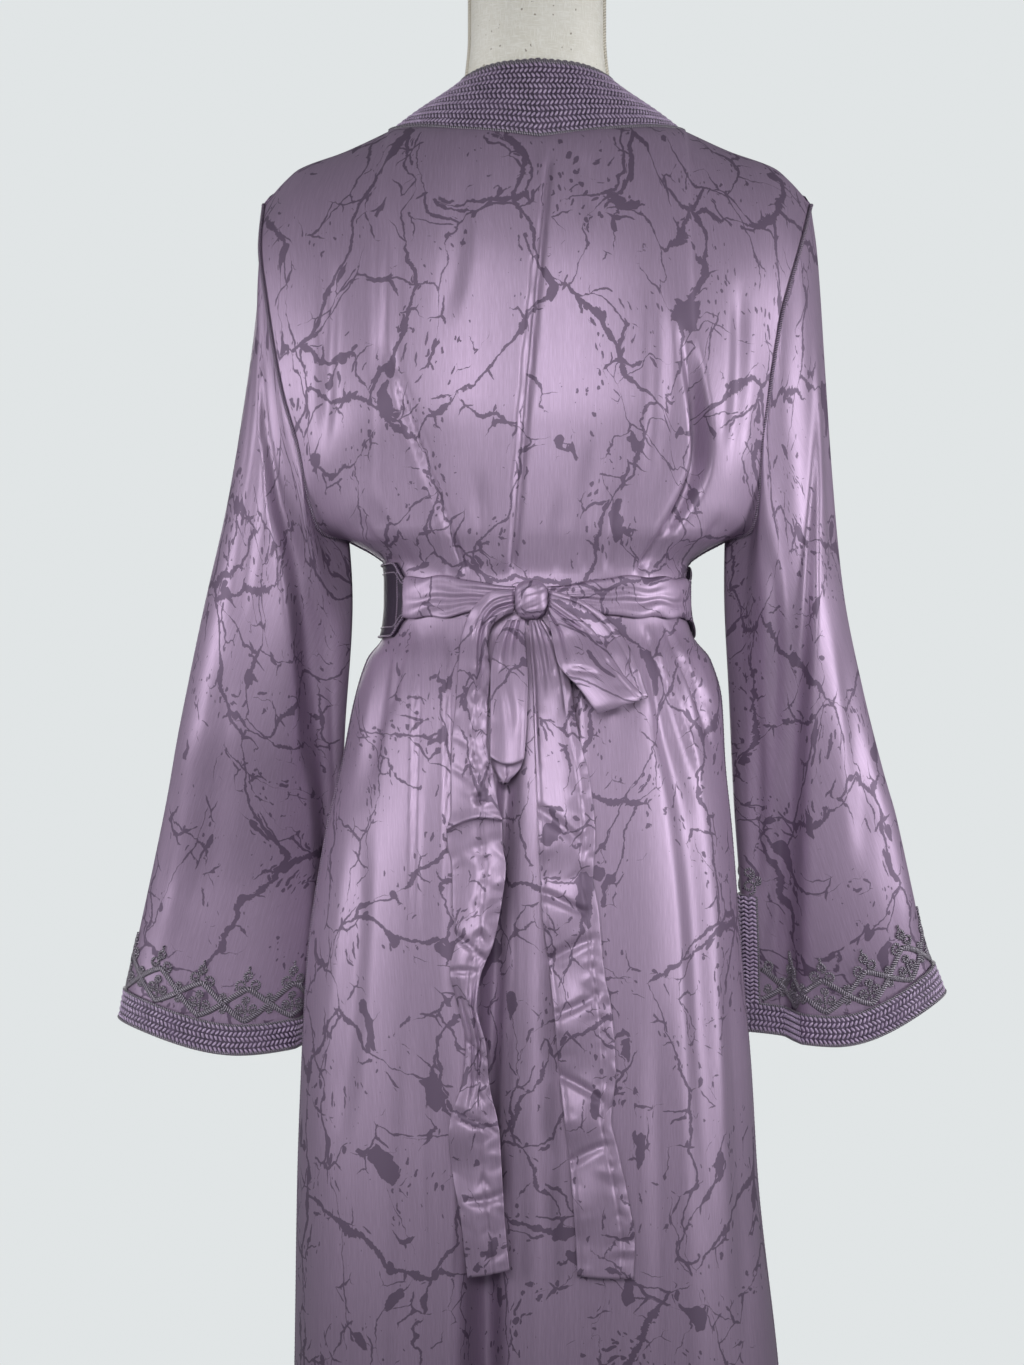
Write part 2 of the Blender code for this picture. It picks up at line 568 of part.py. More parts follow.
def back_panel():
    across = np.linspace(-1, 1, BACK_COLUMNS + 1)
    heights = np.array(SKIRT_HEIGHTS + WAIST_HEIGHTS)
    low = rings(BODY_RINGS, across, heights[:, None])
    high = upper_back(across, np.array(RISES[1:]))
    grid = folded(np.vstack([low, high]), FOLDS + pleat_rows(), 1 - abs(across) ** EDGE_FADE)
    side = seams_of_side(len(heights), len(RISES) - 1)
    top = np.where(abs(across) > NECK_SHARE, SHOULDER_SEAM, SEAM)[:, None]
    panel("back_panel", trimmed(grid, top=top, first=side, last=side), CLOTH, "satin")


def front_grid(side):
    """A front, its columns from the band to the side seam."""
    sign = 1 if side == "left" else -1
    out = np.linspace(0, 1, FRONT_COLUMNS + 1)
    heights = np.array(SKIRT_HEIGHTS + WAIST_HEIGHTS)[:, None]
    start = band_turn(side, heights, BAND_WIDTH)
    low = rings(BODY_RINGS, 2 - sign * (start + (1 - start) * out), heights)
    grid = np.vstack([low, upper_front(side, out, np.array(RISES[1:]))])
    return grid if side == "right" else grid[:, ::-1]


def front_panel(side):
    grid = front_grid(side)
    out = np.linspace(0, 1, FRONT_COLUMNS + 1)
    out = out if side == "right" else out[::-1]
    grid = folded(grid, FRONT_FOLDS, (1 - out**EDGE_FADE) * (1 - (1 - out) ** EDGE_FADE))
    outer = seams_of_side(len(SKIRT_HEIGHTS + WAIST_HEIGHTS), len(RISES) - 1)
    first, last = (outer, SEAM) if side == "left" else (SEAM, outer)
    panel(f"front_{side}", trimmed(grid, top=SHOULDER_SEAM, first=first, last=last), CLOTH, "satin")


def front_band(side):
    """Braid down one front edge, from the V to the hem."""
    sign = 1 if side == "left" else -1
    x = np.linspace(2 * SEAM, BAND_WIDTH, 3)
    heights = np.array(SKIRT_HEIGHTS + WAIST_HEIGHTS)[:, None]
    low = rings(BODY_RINGS, 2 - sign * band_turn(side, heights, x), heights)
    rise = np.array([r for r in RISES if 0 < r <= BAND_TOP])
    edge = front_inner(rise)
    high = np.repeat(edge[:, None], 3, axis=1)
    high[..., 0] = sign * x
    high[..., 1] -= BAND_CROWN * (1 - x / BAND_WIDTH)
    slant = COLLAR[-1][6] - COLLAR[-1][3]
    high[..., 2] += slant * (1 - x / BAND_WIDTH) * (rise[:, None] / BAND_TOP) ** 2
    grid = np.vstack([low, high])
    grid = grid if side == "right" else grid[:, ::-1]
    first, last = (SEAM, 0) if side == "left" else (0, SEAM)
    panel(f"front_band_{side}", trimmed(grid, top=2 * SEAM, first=first, last=last), BRAID, "braid")


def collar_band():
    """Braid round the neck, at the stations of the back's top edge and the fronts' inner edges."""
    share = np.linspace(-1, 1, BACK_COLUMNS + 1) / NECK_SHARE
    behind = share[abs(share) <= 1 + 1e-9]
    front = np.array([1 + (1 - r) / (1 - BAND_TOP) for r in RISES if BAND_TOP <= r < 1])
    station = np.concatenate([-front, behind, front[::-1]])
    outer, inner = collar_edges(station)
    share = np.linspace(0, 1, 4)[:, None, None]
    grid = outer + share * (inner - outer)
    ends = 2 * SEAM
    panel("collar_band", trimmed(grid, bottom=SEAM, first=ends, last=ends), BRAID, "braid")


def sleeve_grid(side):
    """A sleeve's points, rows from the armhole down, columns from the underarm round the back."""
    sign = 1 if side == "left" else -1
    turn = np.linspace(0, 2 * math.pi, SLEEVE_COLUMNS + 1)
    rise = np.array(RISES)
    top = np.vstack([armhole(side, rise), armhole(side, rise[-2::-1], behind=False)])
    over = (1 - np.cos(turn)) / 2
    inner, middle, outer = WRIST[side]
    wrist = smooth(((0, inner), (0.4, middle), (1, outer)), over)[:, 0]
    fall = np.linspace(0, 1, SLEEVE_STEPS + 1)[:-1, None]
    upper = top[:, 2] + fall * (wrist + VENT - top[:, 2])
    height = np.vstack([upper, wrist + np.array(WRIST_STEPS)[:, None]])

    def tube(level, turn):
        inside, outside, deep, centre = np.moveaxis(smooth(SLEEVES[side], level), -1, 0)
        half = (outside - inside) / 2
        x = (outside + inside) / 2 - half * np.cos(turn)
        return np.stack([sign * x, centre + deep * np.sin(turn), level], -1)

    behind = np.radians(smooth(SEAM_TURNS[side], rise)[:, 0])
    start = np.concatenate([behind, 2 * math.pi - behind[-2::-1]])
    fallen = (top[:, 2] - height) / (top[:, 2] - wrist)
    turned = start + ease(fallen / ARMHOLE_FALL) * (turn - start)
    grid = tube(height, turned) + ((1 - fallen) ** 2)[..., None] * (top - tube(top[:, 2], start))
    line, back = np.moveaxis(smooth(SLEEVE_FOLDS[side], height), -1, 0)
    behind = ease(np.sin(turned) / FOLD_SHARE) * ease(fallen / FOLD_FALL)
    grid[..., 1] -= back * behind * ease((line + FOLD_HALF - abs(grid[..., 0])) / (2 * FOLD_HALF))
    opened = VENT_GAP * ease((wrist[0] + VENT - height[:, 0]) / VENT_OPENS)
    grid[:, 0, 1] += opened
    grid[:, -1, 1] -= opened
    return grid


def sleeve(side):
    """The sleeve and the braid round its wrist and its vent."""
    grid = trimmed(sleeve_grid(side), bottom=CORNER_SEAM)
    rows = len(grid)
    vent = rows - len(WRIST_STEPS)
    faces = quads(numbered(rows, SLEEVE_COLUMNS + 1, wrap_rows=vent + 1), flip=side == "left")
    sheet(f"sleeve_{side}", grid, faces, CLOTH, "satin")
    banded = np.zeros(faces.shape[:2], bool)
    banded[-1] = True
    banded[vent:, :2] = True
    banded[vent:, -2:] = True
    vent_top = moved_out(grid, faces, 1.5 * (2 * REST + BRAID))[vent, 0]
    faces = quads(numbered(rows, SLEEVE_COLUMNS + 1), flip=side == "left")
    out = moved_out(grid, faces, 2 * REST + BRAID)
    out[vent, 0] = vent_top + (0, VENT_GAP, 0)
    out[vent, -1] = vent_top - (0, VENT_GAP, 0)
    sheet(f"cuff_band_{side}", out, faces[banded], BRAID, "braid")


def wrap(around, height, out):
    """A strip round the waist: points of the rings, moved out."""
    grid = rings(BODY_RINGS, around, height)
    return grid + outward(grid) * np.asarray(out)[..., None]


def belt_panel():
    around = np.linspace(*BELT_ENDS, 46)
    rows = np.array([h for h in WAIST_HEIGHTS if BELT_LOW <= h <= BELT_HIGH])
    from_end = np.minimum(around - BELT_ENDS[0], BELT_ENDS[1] - around)
    taper = ease(from_end / BELT_TAPER)
    middle = TIE_ROWS[1]
    narrow = (TIE_ROWS[2] - TIE_ROWS[0]) / (BELT_HIGH - BELT_LOW)
    height = middle + (rows[:, None] - middle) * (narrow + (1 - narrow) * taper)
    panel("belt_panel", wrap(around, height, 2 * REST + BELT), BELT, "belt_cloth")


def tie(side):
    """The stretch of belt from the panel's end to the knot."""
    panel_end = BELT_ENDS[0] - TIE_GAP if side == "left" else BELT_ENDS[1] + TIE_GAP
    around = np.linspace(*sorted((TIE_TURNS[side], panel_end)), 15)
    near = ease(1 - abs(around - TIE_TURNS[side]) / TIE_GATHER)
    middle = TIE_ROWS[1]
    height = middle + (np.array(TIE_ROWS)[:, None] - middle) * (1 - TIE_NARROWED * near)
    panel(f"tie_{side}", wrap(around, height, 2 * REST + TUBE), TUBE, "satin")


def ribbon(name, table):
    """A pressed tube of cloth behind the skirt, between the two edges of each of its table's rows."""
    rows = np.array(table, float)
    share = np.linspace(0, 1, 4)[:, None]
    x = rows[:, 0] + share * (rows[:, 2] - rows[:, 0])
    height = rows[:, 1] + share * (rows[:, 3] - rows[:, 1])
    ridge = np.clip(fold(FOLDS[:6], x, height), 0, None) * under_belt(height)
    y = skirt_depth(x, height) + ridge + rows[:, 4] + TUBE
    grid = np.stack([x, y, height], -1)
    grid[..., 1] += RIBBON_CROWN * np.sin(share * math.pi)
    panel(name, grid[::-1], TUBE, "satin")


def knot():
    bpy.ops.mesh.primitive_uv_sphere_add(segments=14, ring_count=9, radius=1, location=KNOT)
    obj = bpy.context.object
    for vertex in obj.data.vertices:
        squared = [math.copysign(abs(value) ** KNOT_ROUND, value) for value in vertex.co]
        waist = 1 - KNOT_WAIST * (1 - vertex.co.z**2)
        vertex.co = (squared[0] * KNOT_SIZE[0] * waist, squared[1] * KNOT_SIZE[1], squared[2] * KNOT_SIZE[2])
    finish(obj, "knot", "satin")


def form_torso():
    """The form's torso and neck, lofted through its rings and closed at both ends."""
    around = np.linspace(0, 4, FORM_COLUMNS, endpoint=False)
    heights = np.array([row[0] for row in FORM_RINGS])
    grid = rings(FORM_RINGS, around, heights[:, None])
    mesh = bmesh.new()
    levels = [[mesh.verts.new(point) for point in row] for row in grid.tolist()]
    for low, high in zip(levels, levels[1:]):
        for k in range(FORM_COLUMNS):
            after = (k + 1) % FORM_COLUMNS
            mesh.faces.new((low[k], high[k], high[after], low[after]))
    mesh.faces.new(levels[0])
    mesh.faces.new(levels[-1][::-1])
    data = bpy.data.meshes.new("form_torso")
    mesh.to_mesh(data)
    mesh.free()
    obj = bpy.data.objects.new("form_torso", data)
    bpy.context.scene.collection.objects.link(obj)
    finish(obj, "form_torso", "form_cloth")


def form_stand():
    bpy.ops.mesh.primitive_cylinder_add(
        vertices=48, radius=FOOT_RADIUS, depth=FOOT_HEIGHT, location=(0, 0, FOOT_HEIGHT / 2)
    )
    finish(bpy.context.object, "form_foot", "stand_metal")
    low, high = FOOT_HEIGHT + STAND_GAP, FORM_RINGS[0][0] - STAND_GAP
    bpy.ops.mesh.primitive_cylinder_add(
        vertices=20, radius=POLE_RADIUS, depth=high - low, location=(0, 0, (high + low) / 2)
    )
    finish(bpy.context.object, "form_pole", "stand_metal")


def main():
    for obj in list(bpy.data.objects):
        bpy.data.objects.remove(obj)
    bpy.context.scene.collection.children.link(bpy.data.collections.new("kaftan"))
    back_panel()
    collar_band()
    for side in ("left", "right"):
        front_panel(side)
        front_band(side)
        sleeve(side)
        tie(side)
    belt_panel()
    knot()
    ribbon("tail_left", TAIL_LEFT)
    ribbon("tail_right", TAIL_RIGHT)
    ribbon("loop_left", LOOP_LEFT)
    ribbon("loop_right", LOOP_RIGHT)
    form_torso()
    form_stand()


main()
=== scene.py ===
# Moroccan kaftan on a dress form, seen from behind: satin panels, braid, soutache, bow, linen form
import json
import math

import bpy
import numpy as np
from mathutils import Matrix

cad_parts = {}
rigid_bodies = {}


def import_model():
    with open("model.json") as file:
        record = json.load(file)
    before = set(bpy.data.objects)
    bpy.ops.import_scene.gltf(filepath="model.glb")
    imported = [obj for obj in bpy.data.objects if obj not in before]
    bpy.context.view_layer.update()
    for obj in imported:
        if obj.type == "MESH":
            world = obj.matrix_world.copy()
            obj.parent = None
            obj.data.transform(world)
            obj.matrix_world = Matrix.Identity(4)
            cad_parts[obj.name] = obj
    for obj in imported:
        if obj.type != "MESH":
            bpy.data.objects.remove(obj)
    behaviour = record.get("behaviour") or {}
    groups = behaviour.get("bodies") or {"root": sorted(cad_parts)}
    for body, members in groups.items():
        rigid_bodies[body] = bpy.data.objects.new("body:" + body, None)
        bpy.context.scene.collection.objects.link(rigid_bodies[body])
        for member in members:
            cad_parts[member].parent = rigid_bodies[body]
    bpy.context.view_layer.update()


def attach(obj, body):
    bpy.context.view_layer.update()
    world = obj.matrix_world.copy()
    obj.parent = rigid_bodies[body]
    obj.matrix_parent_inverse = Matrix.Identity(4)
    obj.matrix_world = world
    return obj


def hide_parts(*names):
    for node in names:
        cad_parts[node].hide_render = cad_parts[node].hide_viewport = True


for obj in list(bpy.data.objects):
    bpy.data.objects.remove(obj)
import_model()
print("frame loaded")

# Metres, +Z up, the wearer faces -Y, the wearer's left is at +X
cloth = {
    "satin": 0.0012,
    "braid": 0.0020,
    "belt": 0.0030,
    "tube": 0.0020,
    "seam": 0.00028,
    "shoulderSeam": 0.0004,
    "cornerSeam": 0.0009,
    "rest": 0.0004,
}

body = {
    "squareness": 0.87,  # power on sine and cosine, below 1 squares a ring's corners
    "armLevel": 1.115,
    "bandWidth": 0.035,
    "neckShare": 14 / 24,  # part of the half back that the collar takes along the top
    "bandTop": 0.29,
    "bandCrown": 0.0012,
    "flattened": 0.35,
    "frontArmhole": 0.007,
    "frontShare": 0.95,  # of the armhole's depth behind
    "bladeDrop": (0.4, 2.5),  # how much shallower the back is at its sides, and the power it falls with
    "chestDrop": (0.5, 2),
    "edgePull": (2.5, 3, 2.5),  # powers that keep an edge's pull near it, in x, y and height
    "innerPull": (1.5, 2, 1.5),
    "rings": (  # height, left, right, back, front
        (0.040, 0.2220, 0.2350, 0.1720, 0.1700),
        (0.200, 0.2180, 0.2260, 0.1680, 0.1630),
        (0.386, 0.2130, 0.2120, 0.1620, 0.1560),
        (0.550, 0.2105, 0.1940, 0.1570, 0.1500),
        (0.650, 0.2070, 0.1880, 0.1540, 0.1460),
        (0.745, 0.2020, 0.1800, 0.1510, 0.1420),
        (0.860, 0.1850, 0.1710, 0.1480, 0.1360),
        (0.920, 0.1710, 0.1650, 0.1420, 0.1300),
        (0.975, 0.1600, 0.1620, 0.1310, 0.1220),
        (1.010, 0.1490, 0.1520, 0.1170, 0.1120),
        (1.030, 0.1355, 0.1375, 0.1060, 0.1040),
        (1.045, 0.1325, 0.1330, 0.1030, 0.1015),
        (1.0615, 0.1315, 0.1315, 0.1020, 0.1010),
        (1.080, 0.1315, 0.1315, 0.1022, 0.1012),
        (1.093, 0.1330, 0.1330, 0.1040, 0.1020),
        (1.103, 0.1440, 0.1440, 0.1090, 0.1060),
        (1.115, 0.1660, 0.1660, 0.1180, 0.1140),
    ),
    "left": (  # armhole: rise, height, x, depth behind the shoulder line
        (0.00, 1.1150, 0.1660, 0.000),
        (0.08, 1.1200, 0.1880, 0.028),
        (0.20, 1.1450, 0.1980, 0.046),
        (0.35, 1.1900, 0.2060, 0.056),
        (0.50, 1.2400, 0.2200, 0.058),
        (0.70, 1.3175, 0.2340, 0.050),
        (0.85, 1.3700, 0.2410, 0.036),
        (1.00, 1.4126, 0.2415, 0.000),
    ),
    "right": (
        (0.00, 1.1150, 0.1660, 0.000),
        (0.08, 1.1220, 0.1870, 0.028),
        (0.20, 1.1500, 0.1920, 0.046),
        (0.35, 1.1900, 0.1935, 0.055),
        (0.50, 1.2350, 0.1985, 0.059),
        (0.70, 1.3050, 0.2100, 0.056),
        (0.85, 1.3600, 0.2260, 0.042),
        (1.00, 1.4126, 0.2425, 0.000),
    ),
    "shoulder": (  # x, height
        (0.121, 1.4810),
        (0.130, 1.4770),
        (0.170, 1.4595),
        (0.210, 1.4454),
        (0.223, 1.4347),
        (0.243, 1.4126),
    ),
    "collar": (  # station, outer edge x, y, height, inner edge x, y, height
        (0.00, 0.000, 0.086, 1.4526, 0.0000, 0.0640, 1.5220),
        (0.31, 0.040, 0.080, 1.4590, 0.0300, 0.0575, 1.5210),
        (0.62, 0.080, 0.062, 1.4655, 0.0540, 0.0400, 1.5190),
        (0.85, 0.112, 0.034, 1.4725, 0.0660, 0.0180, 1.5170),
        (1.00, 0.130, 0.000, 1.4770, 0.0690, -0.0020, 1.5150),
        (1.20, 0.127, -0.040, 1.4520, 0.0700, -0.0320, 1.4980),
        (1.40, 0.113, -0.072, 1.4200, 0.0630, -0.0650, 1.4600),
        (1.65, 0.085, -0.103, 1.3650, 0.0400, -0.0960, 1.3850),
        (2.00, 0.035, -0.138, 1.2500, 0.0004, -0.1385, 1.2700),
    ),
    "backDepth": ((0, 0.118), (0.3, 0.125), (0.64, 0.124), (1, 0.110)),
    "frontDepth": ((0, 0.114), (0.3, 0.136), (0.55, 0.132), (1, 0.105)),
    "bust": (0.45, 0.42, 0.24, 0.22, 0.014),
    "bandDepth": ((1.115, 0.1126), (1.14, 0.1210), (1.19, 0.1310), (1.25, 0.1380)),
}

waist = {
    "low": 1.045,
    "middle": 1.0615,
    "high": 1.080,
    "foldsBelow": 0.035,  # how far below and above the belt the folds reach their full depth
    "foldsAbove": 0.012,
    "blouse": {"level": 1.125, "reach": 0.035, "start": 1.084, "rise": 0.016, "passes": 160},
}

crease = {"ends": 0.3, "fall": 2.5}
lap = {"ends": 0.06, "fall": 1.6, "edge": 0.0013, "notchAt": 0.0034, "notchHalf": 0.0044, "notch": 0.9}

bothSides = ("left", "right")
signOf = {"left": 1, "right": -1}


def smooth(table, at):
    rows = np.array(table, float)
    start, values = rows[:, 0], rows[:, 1:]
    step = np.diff(start)[:, None]
    slope = np.diff(values, axis=0) / step
    sameWay = slope[:-1] * slope[1:] > 0
    both = np.where(sameWay, slope[:-1] + slope[1:], 1)
    bend = np.where(sameWay, 2 * slope[:-1] * slope[1:] / both, 0)
    tangent = np.vstack([slope[:1], bend, slope[-1:]])
    at = np.clip(np.asarray(at, float), start[0], start[-1])
    i = np.clip(np.searchsorted(start, at, side="right") - 1, 0, len(start) - 2)
    width = step[i]
    t = (at - start[i])[..., None] / width
    rest = 1 - t
    ends = values[i] * (1 + 2 * t) * rest**2 + values[i + 1] * (3 - 2 * t) * t**2
    return ends + width * t * rest * (tangent[i] * rest - tangent[i + 1] * t)


def ease(value):
    value = np.clip(value, 0, 1)
    return value * value * (3 - 2 * value)


def unit(vectors):
    return vectors / np.maximum(np.linalg.norm(vectors, axis=-1, keepdims=True), 1e-12)


def runLength(path):
    # distance along the path at each of its points
    return np.concatenate([[0], np.cumsum(np.linalg.norm(np.diff(path, axis=0), axis=1))])


def ringPoints(table, around, height):
    # around is 0 at the centre back, 1 at the left, 2 in front, 3 at the right
    around, height = np.broadcast_arrays(around, height)
    left, right, back, front = np.moveaxis(smooth(table, height), -1, 0)
    sine, cosine = np.sin(around * math.pi / 2), np.cos(around * math.pi / 2)
    x = np.where(sine > 0, left, -right) * abs(sine) ** body["squareness"]
    y = np.where(cosine > 0, back, -front) * abs(cosine) ** body["squareness"]
    return np.stack([x, y, height], -1)


def skirtDepth(x, height):
    left, right, back, _ = np.moveaxis(smooth(body["rings"], height), -1, 0)
    share = abs(x) / np.where(x > 0, left, right)
    return back * (1 - share ** (2 / body["squareness"])) ** (body["squareness"] / 2)


def collarEdges(station):
    both = smooth(body["collar"], abs(station))
    outer, inner = both[..., :3].copy(), both[..., 3:].copy()
    outer[..., 0] *= np.sign(station)
    inner[..., 0] *= np.sign(station)
    return outer, inner


def shoulderLine(x):
    return np.stack([x, np.zeros_like(x), smooth(body["shoulder"], abs(x))[..., 0]], -1)


def armhole(side, rise, behind=True):
    height, x, depth = np.moveaxis(smooth(body[side], rise), -1, 0)
    sign = signOf[side]
    if not behind:
        x, depth = x + body["frontArmhole"] * np.sin(math.pi * rise), -body["frontShare"] * depth
    return np.stack([sign * x, depth, height], -1)


def roundness(rise):
    return np.sqrt(1 - rise**4)


def backTop(across):
    tip = np.where(across > 0, body["left"][-1][2], body["right"][-1][2])
    neck, _ = collarEdges(across / body["neckShare"])
    along = (abs(across) - body["neckShare"]) / (1 - body["neckShare"])
    neckX = body["collar"][4][1]
    seam = shoulderLine(np.sign(across) * (neckX + np.clip(along, 0, 1) * (tip - neckX)))
    return np.where(abs(across)[:, None] <= body["neckShare"] + 1e-9, neck, seam)


def upperBack(across, rise):
    base, top = ringPoints(body["rings"], across, body["armLevel"]), backTop(across)
    rise = rise[:, None]
    grid = base + rise[..., None] * (top - base)
    turned, flat = roundness(rise), ease(rise / body["flattened"])
    drop, power = body["bladeDrop"]
    blade = smooth(body["backDepth"], rise)[..., 0] * (1 - drop * abs(across) ** power)
    depth = base[:, 1] * (1 - flat) + blade * flat
    grid[..., 1] = depth * turned + top[:, 1] * (1 - turned)
    for side, column in (("right", 0), ("left", -1)):
        apart = armhole(side, rise[:, 0]) - grid[:, column]
        near = np.clip(across if side == "left" else -across, 0, 1)
        grid = grid + apart[:, None] * near[:, None] ** body["edgePull"]
    return grid


def frontInner(rise):
    low = np.clip(rise / body["bandTop"], 0, 1)
    height = body["armLevel"] + low * (body["collar"][-1][3] - body["armLevel"])
    depth = smooth(body["bandDepth"], height)[..., 0]
    band = np.stack([0 * height + body["bandWidth"], -depth, height], -1)
    neck, _ = collarEdges(2 - np.clip((rise - body["bandTop"]) / (1 - body["bandTop"]), 0, 1))
    return np.where((rise <= body["bandTop"])[:, None], band, neck)


def bandTurn(side, height, x):
    half = smooth(body["rings"], height)[..., 0 if side == "left" else 1]
    return np.arcsin((x / half) ** (1 / body["squareness"])) / (math.pi / 2)


def upperFront(side, out, rise):
    sign = signOf[side]
    start = bandTurn(side, body["armLevel"], body["bandWidth"])
    base = ringPoints(body["rings"], 2 - sign * (start + (1 - start) * out), body["armLevel"])
    neckX, tip = body["collar"][4][1], body[side][-1][2]
    top = shoulderLine(sign * (neckX + out * (tip - neckX)))
    edge, inner = armhole(side, rise, behind=False), frontInner(rise) * (sign, 1, 1)
    rise = rise[:, None]
    grid = base + rise[..., None] * (top - base)
    turned, flat = roundness(rise), ease(rise / body["flattened"])
    drop, power = body["chestDrop"]
    chest = smooth(body["frontDepth"], rise)[..., 0] * (1 - drop * out**power)
    place, level, reach, riseReach, height = body["bust"]
    chest = chest + height * np.exp(-(((out - place) / reach) ** 2) - ((rise - level) / riseReach) ** 2)
    grid[..., 1] = (base[:, 1] * (1 - flat) - chest * flat) * turned
    atEdge, atInner = edge - grid[:, -1], inner - grid[:, 0]
    grid = grid + atEdge[:, None] * out[:, None] ** body["edgePull"]
    return grid + atInner[:, None] * (1 - out[:, None]) ** body["innerPull"]


def alongLine(height, top, foot, xs, depths):
    # share of the way down, x and depth of a line given at its top, middle and foot
    down = (top - height) / (top - foot)
    line = smooth(tuple(zip((0, 0.5, 1), xs, depths)), down)
    return down, line[..., 0], line[..., 1]


def foldDepth(table, x, height):
    # rows: top, foot, x at top, middle, foot, half width at top, foot, depth at top, middle, foot
    total = np.zeros(np.broadcast(x, height).shape)
    for top, foot, x0, x1, x2, wideTop, wideFoot, *depths in table:
        down, line, depth = alongLine(height, top, foot, (x0, x1, x2), depths)
        half = wideTop + (wideFoot - wideTop) * np.clip(down, 0, 1)
        off = np.clip((x - line) / half, -1, 1)
        total = total + ((down >= 0) & (down <= 1)) * depth * np.cos(off * math.pi / 2) ** 2
    return total


def lapDepth(table, x, height):
    # a lapped fold stands up along its line and falls away on the side it lies to, with a notch beneath its edge
    total = np.zeros(np.broadcast(x, height).shape)
    for top, foot, x0, x1, x2, toward, step0, step1, step2, reach in table:
        down, line, depth = alongLine(height, top, foot, (x0, x1, x2), (step0, step1, step2))
        off = (x - line) * toward
        shown = ease(down / lap["ends"]) * ease((1 - down) / lap["ends"]) * ((down > 0) & (down < 1))
        stands = np.clip(1 - off / reach, 0, 1) ** lap["fall"] * ease((off + lap["edge"]) / (2 * lap["edge"]))
        notch = np.clip(1 - abs(off + lap["notchAt"]) / lap["notchHalf"], 0, 1)
        total = total + shown * depth * (stands - lap["notch"] * notch)
    return total


def creaseDepth(table, a, b):
    # rows: start a, b, end a, b, bow to the side, half width at start, end, depth, sharpness
    total = np.zeros(np.broadcast(a, b).shape)
    for a0, b0, a1, b1, bow, half0, half1, depth, sharp in table:
        length = math.hypot(a1 - a0, b1 - b0)
        along = ((a - a0) * (a1 - a0) + (b - b0) * (b1 - b0)) / length**2
        side = ((a - a0) * (b1 - b0) - (b - b0) * (a1 - a0)) / length
        side = side - 4 * bow * along * (1 - along)
        half = half0 + (half1 - half0) * np.clip(along, 0, 1)
        off = np.clip(abs(side) / half, 0, 1)
        shown = ease(along / crease["ends"]) * ease((1 - along) / crease["ends"])
        rounded = np.cos(off * math.pi / 2) ** 2
        total = total + depth * shown * ((1 - sharp) * rounded + sharp * (1 - off) ** crease["fall"])
    return total


def underBelt(height):
    below = ease((waist["low"] - height) / waist["foldsBelow"])
    return np.maximum(below, ease((height - waist["high"]) / waist["foldsAbove"]))


def facing(grid, level=False):
    # normals of a grid whose rows go up and columns turn left to front, without their rise where they are level
    out = np.cross(np.gradient(grid, axis=0), np.gradient(grid, axis=1))
    if level:
        out[..., 2] = 0
    return unit(out)


def trimmed(grid, bottom=0, top=0, first=0, last=0):
    # each edge drawn in by its own distance
    grid = grid.copy()

    def draw(edge, inside, amount):
        along, step = unit(np.gradient(edge, axis=0)), inside - edge
        return edge + amount * unit(step - along * (step * along).sum(-1, keepdims=True))

    grid[0] = draw(grid[0], grid[1], bottom)
    grid[-1] = draw(grid[-1], grid[-2], top)
    grid[:, 0] = draw(grid[:, 0], grid[:, 1], first)
    grid[:, -1] = draw(grid[:, -1], grid[:, -2], last)
    return grid


def cutMap(grid, origin=(0, 0)):
    # place of each point in the flat cut, in metres from the middle column and the bottom row
    across = np.linalg.norm(np.diff(grid, axis=1), axis=2)
    u = np.hstack([np.zeros((len(grid), 1)), np.cumsum(across, axis=1)])
    u = u - u[:, grid.shape[1] // 2][:, None]
    along = np.linalg.norm(np.diff(grid, axis=0), axis=2)
    v = np.vstack([np.zeros((1, grid.shape[1])), np.cumsum(along, axis=0)])
    return np.stack([u + origin[0], v + origin[1]], -1)


def deselectAll():
    for obj in bpy.context.selected_objects:
        obj.select_set(False)


def applied(obj, kind, **values):
    deselectAll()
    bpy.context.view_layer.objects.active = obj
    obj.select_set(True)
    modifier = obj.modifiers.new(kind.lower(), kind)
    for key, value in values.items():
        setattr(modifier, key, value)
    bpy.ops.object.modifier_apply(modifier=modifier.name)
    return obj


def finished(obj, name, finish):
    obj.name = name
    obj.data.name = name
    obj.data.materials.clear()
    obj.data.materials.append(finish)
    obj.data.shade_smooth()
    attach(obj, "root")
    return obj


